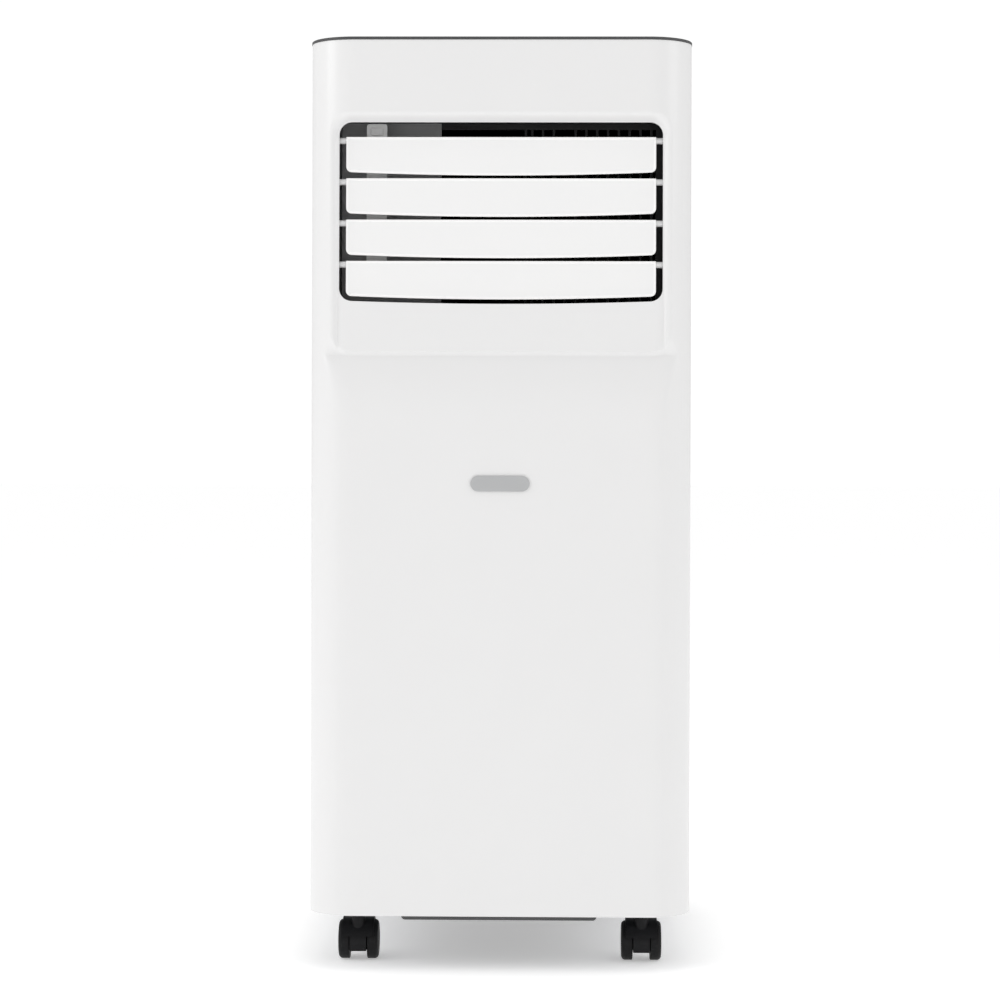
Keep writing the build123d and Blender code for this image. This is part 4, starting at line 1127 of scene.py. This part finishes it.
@dataclass
class RearShell:
    """The sides and back, with the handles, grilles, outlet and small rear pieces."""

    model: Model

    def build(self) -> None:
        """Refits the rear cover and everything on it."""
        model = self.model
        for node, body, width, segments in (
            ("rear_cover", "casing", 0.5, 3),
            ("left_handle", "casing", 0.8, 3),
            ("right_handle", "casing", 0.8, 3),
            ("upper_intake_grille", "upper_grille", 0.5, 2),
            ("lower_intake_grille", "casing", 0.5, 2),
            ("exhaust_collar", "casing", 0.6, 3),
            ("cord_hooks", "casing", 0.6, 3),
        ):
            model.refit(node, body, WHITE_CASING, "white_casing", width, segments)
        model.refit("cord_gland", "casing", RUBBER, "black_rubber", 0.4)
        for level in ("upper", "lower"):
            model.refit(f"{level}_drain_plug", f"{level}_drain_plug", RUBBER, "black_rubber", 0.4)
        model.refit("cover_screws", "casing", ZINC, "zinc_steel", 0.3)
        model.keep(FILTER_MESH, "upper_filter")


@dataclass
class TopPanel:
    """The dark top cover, its control strip, the display and the five keys."""

    model: Model
    legend_height: float = 0.08
    stroke: float = 0.7
    segment_length: float = 4.0
    segment_gap: float = 0.9
    digit_half_pitch: float = 4.0

    def bar(self, name: str, x: float, y: float, z: float, width: float, depth: float) -> Piece:
        """One flat stroke of a legend, with its ends rounded.

        Args:
            name: the new piece's name.
            x: its middle across.
            y: its middle from front to back.
            z: its lower face.
            width: its size across.
            depth: its size from front to back.

        Returns:
            The stroke.
        """
        stroke = block(
            name, (x - width / 2, y - depth / 2, z),
            (x + width / 2, y + depth / 2, z + self.legend_height),
        )
        round_edges(stroke, min(width, depth) * 0.4, 3, lambda a, b: abs(a.z - b.z) > TINY)
        return stroke

    def ring(self, name: str, x: float, y: float, z: float, radius: float) -> Piece:
        """A flat ring of a legend.

        Args:
            name: the new piece's name.
            x: its middle across.
            y: its middle from front to back.
            z: its lower face.
            radius: its outer radius.

        Returns:
            The ring.
        """
        outer = drum(
            name, Along.Z, (x, y, z + self.legend_height / 2), radius, self.legend_height, 40
        )
        bore = drum("ring_bore", Along.Z, (x, y, z), radius - self.stroke, 1.0, 40)
        cut(outer, bore)
        return outer

    def legend(self, key: str, x: float, y: float, z: float) -> Piece:
        """The plain sign on one key.

        Args:
            key: which key the sign is for.
            x: the key's middle across.
            y: the key's middle from front to back.
            z: the key's top face.

        Returns:
            The sign, as one piece.
        """
        strokes: list[Piece] = []
        if key == "power":
            strokes.append(self.ring("sign", x, y, z, 2.4))
            strokes.append(self.bar("sign_bar", x, y + 1.9, z, self.stroke, 2.6))
        elif key == "mode":
            for row in range(3):
                width = 4.6 - row
                strokes.append(self.bar("sign", x, y + (row - 1) * 1.7, z, width, self.stroke))
        elif key == "fan":
            strokes.append(self.ring("sign", x, y, z, 1.2))
            for turn in range(3):
                angle = math.radians(90 + 120 * turn)
                blade_x, blade_y = x + 2.1 * math.cos(angle), y + 2.1 * math.sin(angle)
                strokes.append(self.ring("blade", blade_x, blade_y, z, 1.25))
        else:
            strokes.append(self.bar("sign", x, y, z, 4.4, self.stroke))
            if key == "plus":
                strokes.append(self.bar("sign_up", x, y, z, self.stroke, 4.4))
        return gather(f"{key}_legend", strokes)

    def digit(self, lit: str, x: float, y: float, z: float) -> list[Piece]:
        """The lit segments of one digit, lettered from the top round to the middle.

        Args:
            lit: the letters of the segments that are lit.
            x: the digit's middle across.
            y: its middle from front to back.
            z: the display's top face.

        Returns:
            One stroke for each lit segment.
        """
        half = self.segment_length / 2
        places = {
            "a": (0, 2 * half, True), "b": (half, half, False), "c": (half, -half, False),
            "d": (0, -2 * half, True), "e": (-half, -half, False), "f": (-half, half, False),
            "g": (0, 0, True),
        }
        strokes = []
        for letter in lit:
            shift_x, shift_y, level = places[letter]
            length = self.segment_length - self.segment_gap
            width, depth = (length, self.stroke) if level else (self.stroke, length)
            strokes.append(self.bar("segment", x + shift_x, y + shift_y, z, width, depth))
        return strokes

    def build(self) -> None:
        """Fits the top cover, the strip, the display and the keys."""
        model = self.model
        model.refit("top_cover", "casing", DARK_TOP, "dark_top", 0.3, 3)
        model.refit("control_fascia", "casing", BLACK_GLOSS, "gloss_fascia", 0.2)
        model.refit("display_window", "casing", SMOKED, "display_glass", 0.2)
        low, high = model.span("display_window")
        middle = (low + high) / 2
        segments = self.digit("abged", middle.x - self.digit_half_pitch, middle.y, high.z)
        segments += self.digit("fgbc", middle.x + self.digit_half_pitch, middle.y, high.z)
        model.install(gather("display_digits", segments), "casing", LIT_SEGMENT, "display_glass")
        for key in ("power", "mode", "fan", "minus", "plus"):
            body = f"{key}_button"
            model.refit(body, body, KEY_GREY, "key_grey", 0.3, 3)
            low, high = model.span(body)
            middle = (low + high) / 2
            sign = self.legend(key, middle.x, middle.y, high.z - 0.02)
            model.install(sign, body, LEGEND, "key_grey")


@dataclass
class Badge:
    """A plain pill with nothing on it."""

    model: Model
    rim_round: float = 0.15

    def build(self) -> None:
        """Models the pill from a sheet and rounds its rim."""
        low, high = self.model.span("badge")
        middle = (low + high) / 2
        height = high.z - low.z
        pill = rounded_sheet(
            "badge_finished", (middle.x, low.y, middle.z), high.x - low.x, height, height / 2 - 0.1
        )
        with editing(pill):
            draw_out(high.y - low.y)
            face_outwards()
        soften(pill, self.rim_round, 3)
        self.model.install(pill, "casing", BADGE_GREY, "grey_badge", "badge")


# ---- outlet --------------------------------------------------------------------------


@dataclass
class Louvers:
    """The four louvres, modelled once and copied, and the link behind them."""

    model: Model
    count: int = 4
    width: float = 242.0
    above: float = 2.6
    end_height: float = 27.4
    bow: float = 2.6
    thickness: float = 2.4
    plate_ahead: float = 2.3
    corner: float = 4.0
    rim: float = 1.4
    rim_depth: float = 0.35
    columns: int = 22
    pin_radius: float = 2.5
    pin_end: float = 129.2
    arm_reach: float = 12.0
    arm_width: float = 2.0
    arm_gap: float = 0.5
    ear_width: float = 3.0
    link_pin_radius: float = 1.5
    link_pin_length: float = 20.5
    window_drop: float = 6.0
    clip_half: Triple = (4.8, 0.8, 2.8)

    def pivots(self) -> list[tuple[float, float]]:
        """The (y, z) of each louvre's pivot, from its joint, in millimetres.

        Returns:
            The places from the top louvre down.
        """
        places = {}
        for joint in self.model.frame["joints"]:
            places[joint["child"]] = joint.get("pos_m")
        chosen = [places[f"louver_{index + 1}"] for index in range(self.count)]
        return [(place[1] / MM, place[2] / MM) for place in chosen]

    def plate(self, y: float, z: float) -> Piece:
        """The blade: a grid bowed down in the middle, given a rim and a thickness.

        Args:
            y: the pivot's place from front to back.
            z: the pivot's height.

        Returns:
            The upright blade.
        """
        deselect_all()
        front = y - self.plate_ahead - self.thickness
        bpy.ops.mesh.primitive_grid_add(
            x_subdivisions=self.columns, y_subdivisions=1, size=1.0,
            location=Vector((0, front, z + self.above - self.end_height / 2)) * MM,
            rotation=UPRIGHT,
        )
        bpy.context.object.scale = (self.width * MM, self.end_height * MM, 1.0)
        blade = named("louver_blade")
        foot = (z + self.above - self.end_height) * MM
        half = self.width / 2 * MM
        for column in range(1, self.columns):
            x = -half + 2 * half * column / self.columns
            drop = self.bow * (1 - (x / half) ** 2)
            with editing(blade, "VERT"):
                choose_points(blade, lambda p: abs(p.x - x) < TINY and p.z < foot + TINY)
                bpy.ops.transform.translate(value=(0, 0, -drop * MM))
        with editing(blade, "VERT"):
            choose_points(blade, lambda p: abs(abs(p.x) - half) < TINY and p.z < foot + TINY)
            bpy.ops.mesh.bevel(offset=self.corner * MM, segments=6, affect="VERTICES")
            draw_out(self.thickness)
            face_outwards()
        with editing(blade):
            choose_faces(blade, faces_front)
            step_in(self.rim, self.rim_depth * 1.6, self.rim_depth)
        return blade

    def lean(self, piece: Piece, y: float, z: float) -> None:
        """Tips the upright blade back to lie along the panel.

        Args:
            piece: the blade.
            y: the pivot's place from front to back.
            z: the pivot's height.
        """
        panel = FrontShell(self.model)
        with editing(piece):
            select_all()
            bpy.ops.transform.rotate(
                value=math.atan(panel.slope), orient_axis="X",
                center_override=Vector((0, y, z)) * MM,
            )

    def louver(self, y: float, z: float) -> Piece:
        """One whole louvre: blade, end ears, pins and the two link arms.

        Args:
            y: the pivot's place from front to back.
            z: the pivot's height.

        Returns:
            The louvre, as one piece.
        """
        blade = self.plate(y, z)
        self.lean(blade, y, z)
        soften(blade, 0.35, 2, angle=40.0)
        parts = [blade]
        link_low, link_high = self.model.span("louver_link")
        half = self.width / 2
        pin_from = half - self.ear_width
        root = y - self.plate_ahead - 1.0
        radius = self.pin_radius
        for side, link_side in ((-1, link_low.x), (1, link_high.x)):
            ear_near, ear_far = sorted((side * half, side * pin_from))
            ear = block("ear", (ear_near, root, z - radius), (ear_far, y, z + radius))
            pin = drum(
                "pin", Along.X, (side * (pin_from + self.pin_end) / 2, y, z),
                radius, self.pin_end - pin_from, 32,
            )
            face = link_side + side * self.arm_gap
            arm_near, arm_far = sorted((face, face + side * self.arm_width))
            reach = y + self.arm_reach
            arm = block("arm", (arm_near, root, z - radius), (arm_far, reach, z + radius))
            middle = face + side * self.arm_width / 2
            tip = drum("arm_tip", Along.X, (middle, reach, z), radius, self.arm_width, 32)
            for part in (ear, pin, arm, tip):
                soften(part, 0.25, 2)
                parts.append(part)
        place = ((link_low.x + link_high.x) / 2, y + self.arm_reach, z)
        parts.append(
            drum("link_pin", Along.X, place, self.link_pin_radius, self.link_pin_length, 24)
        )
        return gather("louver", parts)

    def paint_rim_highlight(self, piece: Piece, y: float, z: float) -> None:
        """Paints a highlight on the raised rim round a blade's sunk field: its faces take a
        lighter, glossier white than the blade.

        Args:
            piece: the louvre.
            y: its pivot's place from front to back.
            z: its pivot's height.
        """
        slope = FrontShell(self.model).slope
        front = y - self.plate_ahead - self.thickness

        def on_rim(middle: Vector, normal: Vector) -> bool:
            """Whether a face lies in the blade's foremost plane."""
            plane = front + (middle.z / MM - z) * slope
            return normal.y < -0.6 and abs(middle.y / MM - plane) < self.rim_depth * 0.6

        # painted highlight: the rim faces take the lighter white
        retouch(piece, RIM_PAINTED_HIGHLIGHT, on_rim)

    def clip(self, y: float, z: float) -> None:
        """The small moulded clip in the window at the top of the link.

        Args:
            y: the top pivot's place from front to back.
            z: the top pivot's height.
        """
        low, high = self.model.span("louver_link")
        slope = FrontShell(self.model).slope
        middle_z = high.z - self.window_drop
        middle_y = y + self.arm_reach + (middle_z - z) * slope
        middle = Vector(((low.x + high.x) / 2, middle_y, middle_z))
        half = Vector(self.clip_half)
        clip = block("link_clip", tuple(middle - half), tuple(middle + half))
        with editing(clip):
            choose_faces(clip, faces_front)
            step_in(1.2, 0.25, 0.5)
        soften(clip, 0.1, 2)
        # painted light: the clip takes the lighter white of the link
        self.model.install(clip, "louver_link", LINK_PAINTED_LIGHT, "white_louver")

    def build(self) -> None:
        """Models the top louvre, copies it down the panel and fits the link."""
        pivots = self.pivots()
        first = self.louver(*pivots[0])
        for index, (y, z) in enumerate(pivots):
            node = f"louver_{index + 1}"
            shift = (0.0, y - pivots[0][0], z - pivots[0][1])
            piece = copy_moved(first, f"{node}_finished", shift)
            self.model.install(piece, node, WHITE_LOUVER, "white_louver", node)
            self.paint_rim_highlight(piece, y, z)
        bpy.data.objects.remove(first, do_unlink=True)
        # painted light: the link takes a lighter white than the louvres
        self.model.refit("louver_link", "louver_link", LINK_PAINTED_LIGHT, "white_louver", 0.3)
        self.clip(*pivots[0])


@dataclass
class Outlet:
    """The dark frame and guard behind the louvres."""

    model: Model
    plate_end: float = -48.0

    def build(self) -> None:
        """Fits the frame, the guard and the duct behind them."""
        model = self.model
        model.refit("outlet_frame", "casing", DUCT_GREY, "dark_duct", 0.3)
        guard = model.refit("outlet_guard", "casing", GUARD_BLACK, "dark_duct", 0.3)
        with editing(guard):
            select_all()
            bpy.ops.mesh.bisect(plane_co=(self.plate_end * MM, 0, 0), plane_no=(1, 0, 0))
        # painted light: the guard's plate left of plate_end takes the lighter grey
        retouch(guard, GUARD_PAINTED_LIGHT, lambda middle, normal: middle.x < self.plate_end * MM)
        model.keep(DUCT_GREY, "air_duct", "blower_scroll", "condenser_scroll")


# ---- base ----------------------------------------------------------------------------


@dataclass
class Casters:
    """Four hooded twin-wheel casters under the base, and the dark plate between them."""

    model: Model
    places: tuple[str, ...] = ("front_left", "front_right", "rear_left", "rear_right")
    dome: float = 3.2
    tread_edge: float = 0.8
    cap_inset: float = 5.2
    cap_step: float = 0.5
    bore_radius: float = 2.05
    bore_stop: float = 1.35
    rail_half: float = 76.0
    rail_low: float = 40.4
    rail_high: float = 50.2
    rail_setback: float = 0.3
    rail_width: float = 8.0

    def rail(self) -> Piece:
        """The dark rail under the front edge of the base pan.

        Returns:
            The rail.
        """
        low, _ = self.model.span("base_pan")
        front = low.y + self.rail_setback
        rail = block(
            "base_rail", (-self.rail_half, front, self.rail_low),
            (self.rail_half, front + self.rail_width, self.rail_high),
        )
        round_edges(rail, 3.0, 4, lambda a, b: abs(a.x - b.x) < TINY and abs(a.y - b.y) > TINY)
        soften(rail, 0.5, 3)
        return rail

    def wheel(self, node: str, outward: int) -> Piece:
        """One wheel: a drum with a domed outer face, a stepped cap and a bored inner face.

        Args:
            node: the frame node that it stands for.
            outward: 1 if its outer face looks to the right, -1 if to the left.

        Returns:
            The wheel, about the same axis as the node.
        """
        low, high = self.model.span(node)
        middle = (low + high) / 2
        radius = (high.z - low.z) / 2
        wheel = drum(f"{node}_finished", Along.X, tuple(middle), radius, high.x - low.x, 72)
        inner, outer = (low.x, high.x) if outward > 0 else (high.x, low.x)
        round_edges(wheel, self.tread_edge, 3, level_with(Along.X, inner))
        round_edges(wheel, self.dome, 8, level_with(Along.X, outer))

        def on_cap(at: Vector, normal: Vector) -> bool:
            """Whether a face lies in the wheel's outer plane."""
            return normal.x * outward > 0.99 and abs(at.x - outer * MM) < TINY

        with editing(wheel):
            choose_faces(wheel, on_cap)
            step_in(self.cap_inset, self.cap_step, self.cap_step)
        bore_end = outer - outward * self.bore_stop
        place = ((inner - outward + bore_end) / 2, middle.y, middle.z)
        length = abs(bore_end - inner) + 1
        cut(wheel, drum("axle_bore", Along.X, place, self.bore_radius, length, 32))
        soften(wheel, 0.0)
        return wheel

    def build(self) -> None:
        """Fits all four casters, the base plate and its rail."""
        model = self.model
        for place in self.places:
            fork = f"{place}_caster_fork"
            model.refit(fork, f"{place}_fork", CASTER_BLACK, "black_plastic", 0.5, 3)
            for side, outward in (("left", -1), ("right", 1)):
                node = f"{place}_wheel_{side}"
                model.install(self.wheel(node, outward), node, TREAD, "caster_tread", node)
        model.refit("base_plate", "casing", DARK_TOP, "dark_top", 0.5, 3)
        model.install(self.rail(), "casing", DARK_TOP, "dark_top")
        model.refit("base_pan", "casing", PAN_STEEL, "galvanised_pan", 0.4)


@dataclass
class Machinery:
    """What works inside: the cooling circuit, the fans and the electrics."""

    model: Model

    def build(self) -> None:
        """Gives every inner piece its own surface."""
        keep = self.model.keep
        keep(ENAMEL, "compressor")
        keep(RUBBER, "compressor_grommets")
        keep(COPPER, "refrigerant_pipes")
        keep(COIL_FINS, "condenser_coil", "evaporator_coil")
        keep(ZINC, "louver_motor", "blower_motor", "condenser_motor", "control_box")
        keep(CASTER_BLACK, "blower_wheel", "condenser_wheel")
        keep(BOARD_GREEN, "main_board", "key_board")
        keep(FOAM, "drain_tray")


# ---- studio --------------------------------------------------------------------------


@dataclass(frozen=True)
class SoftLight:
    """A square soft light, with its places and size in metres and its power in watts."""

    name: str
    place: Triple
    target: Triple
    size: float
    power: float

    def hang(self) -> None:
        """Puts the light in its place, turned to its target."""
        lamp = bpy.data.lights.new(self.name, "AREA")
        lamp.size = self.size
        lamp.energy = self.power
        holder = bpy.data.objects.new(self.name, lamp)
        bpy.context.scene.collection.objects.link(holder)
        holder.location = self.place
        facing = (Vector(self.target) - Vector(self.place)).to_track_quat("-Z", "Y")
        holder.rotation_euler = facing.to_euler()


LIGHTS = (
    SoftLight("key_light", (-2.5, -1.2, 1.6), (0.0, 0.0, 0.42), size=1.2, power=15.5),
    SoftLight("fill_light", (2.4, -1.0, 1.4), (0.0, 0.0, 0.42), size=1.2, power=6.6),
    SoftLight("top_light", (0.0, -0.6, 2.4), (0.0, 0.0, 0.4), size=1.0, power=4.2),
)


@dataclass
class Studio:
    """A white floor, soft light from both sides and above, and a level camera."""

    model: Model
    distance: float = 2058.0
    eye_height: float = 404.6
    azimuth: float = 1.05
    roll: float = 0.17
    lens: float = 95.4
    shift_up: float = -0.048
    sensor: float = 36.0
    near_limit: float = 50.0
    surround: float = 0.65
    backdrop: float = 1.03
    floor_size: float = 60000.0
    floor_roughness: float = 0.9
    floor_glow: float = 0.35

    def floor(self) -> None:
        """A very large white floor that glows a little, so that it stays white."""
        deselect_all()
        bpy.ops.mesh.primitive_plane_add(size=self.floor_size * MM, location=(0, 0, 0))
        floor = named("studio_floor")
        paint = bpy.data.materials.new("studio_white")
        paint.use_nodes = True
        shader = paint.node_tree.nodes["Principled BSDF"]
        shader.inputs["Base Color"].default_value = WHITE
        shader.inputs["Roughness"].default_value = self.floor_roughness
        shader.inputs["Emission Color"].default_value = WHITE
        shader.inputs["Emission Strength"].default_value = self.floor_glow
        floor.data.materials.append(paint)

    def world(self) -> None:
        """An even white surround, a little dimmer as light than as the backdrop."""
        world = bpy.data.worlds.new("studio")
        bpy.context.scene.world = world
        world.use_nodes = True
        tree = world.node_tree
        sky = tree.nodes["Background"]
        sky.inputs["Color"].default_value = WHITE
        seen = tree.nodes.new("ShaderNodeLightPath")
        strength = tree.nodes.new("ShaderNodeMapRange")
        strength.inputs["To Min"].default_value = self.surround
        strength.inputs["To Max"].default_value = self.backdrop
        tree.links.new(seen.outputs["Is Camera Ray"], strength.inputs["Value"])
        tree.links.new(strength.outputs["Result"], sky.inputs["Strength"])

    def camera(self) -> None:
        """A level camera square to the front, a touch to the right."""
        low, _ = self.model.span("front_cover")
        turn = math.radians(self.azimuth)
        across, ahead = self.distance * math.sin(turn), self.distance * math.cos(turn)
        eye = Vector((across, low.y - ahead, self.eye_height))
        lens = bpy.data.cameras.new("front_camera")
        lens.lens = self.lens
        lens.sensor_width = self.sensor
        lens.shift_y = self.shift_up
        lens.clip_start = self.near_limit * MM
        holder = bpy.data.objects.new("front_camera", lens)
        bpy.context.scene.collection.objects.link(holder)
        holder.location = eye * MM
        facing = Matrix.Rotation(turn, 4, "Z") @ Matrix.Rotation(math.pi / 2, 4, "X")
        facing = facing @ Matrix.Rotation(math.radians(self.roll), 4, "Z")
        holder.rotation_euler = facing.to_euler()
        bpy.context.scene.camera = holder

    def build(self) -> None:
        """Sets the stage, the lights and the camera."""
        bpy.context.scene.view_settings.view_transform = "Standard"
        self.floor()
        self.world()
        for light in LIGHTS:
            light.hang()
        self.camera()


def main() -> None:
    """Builds every sub-assembly in order."""
    logging.basicConfig(level=logging.INFO, format="%(message)s", stream=sys.stdout)
    model = Model(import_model())
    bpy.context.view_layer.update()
    stages = (Studio, FrontShell, RearShell, TopPanel, Badge, Louvers, Outlet, Casters, Machinery)
    for stage in stages:
        stage(model).build()
        log.info("%s done", stage.__name__)


if __name__ == "__main__":
    main()
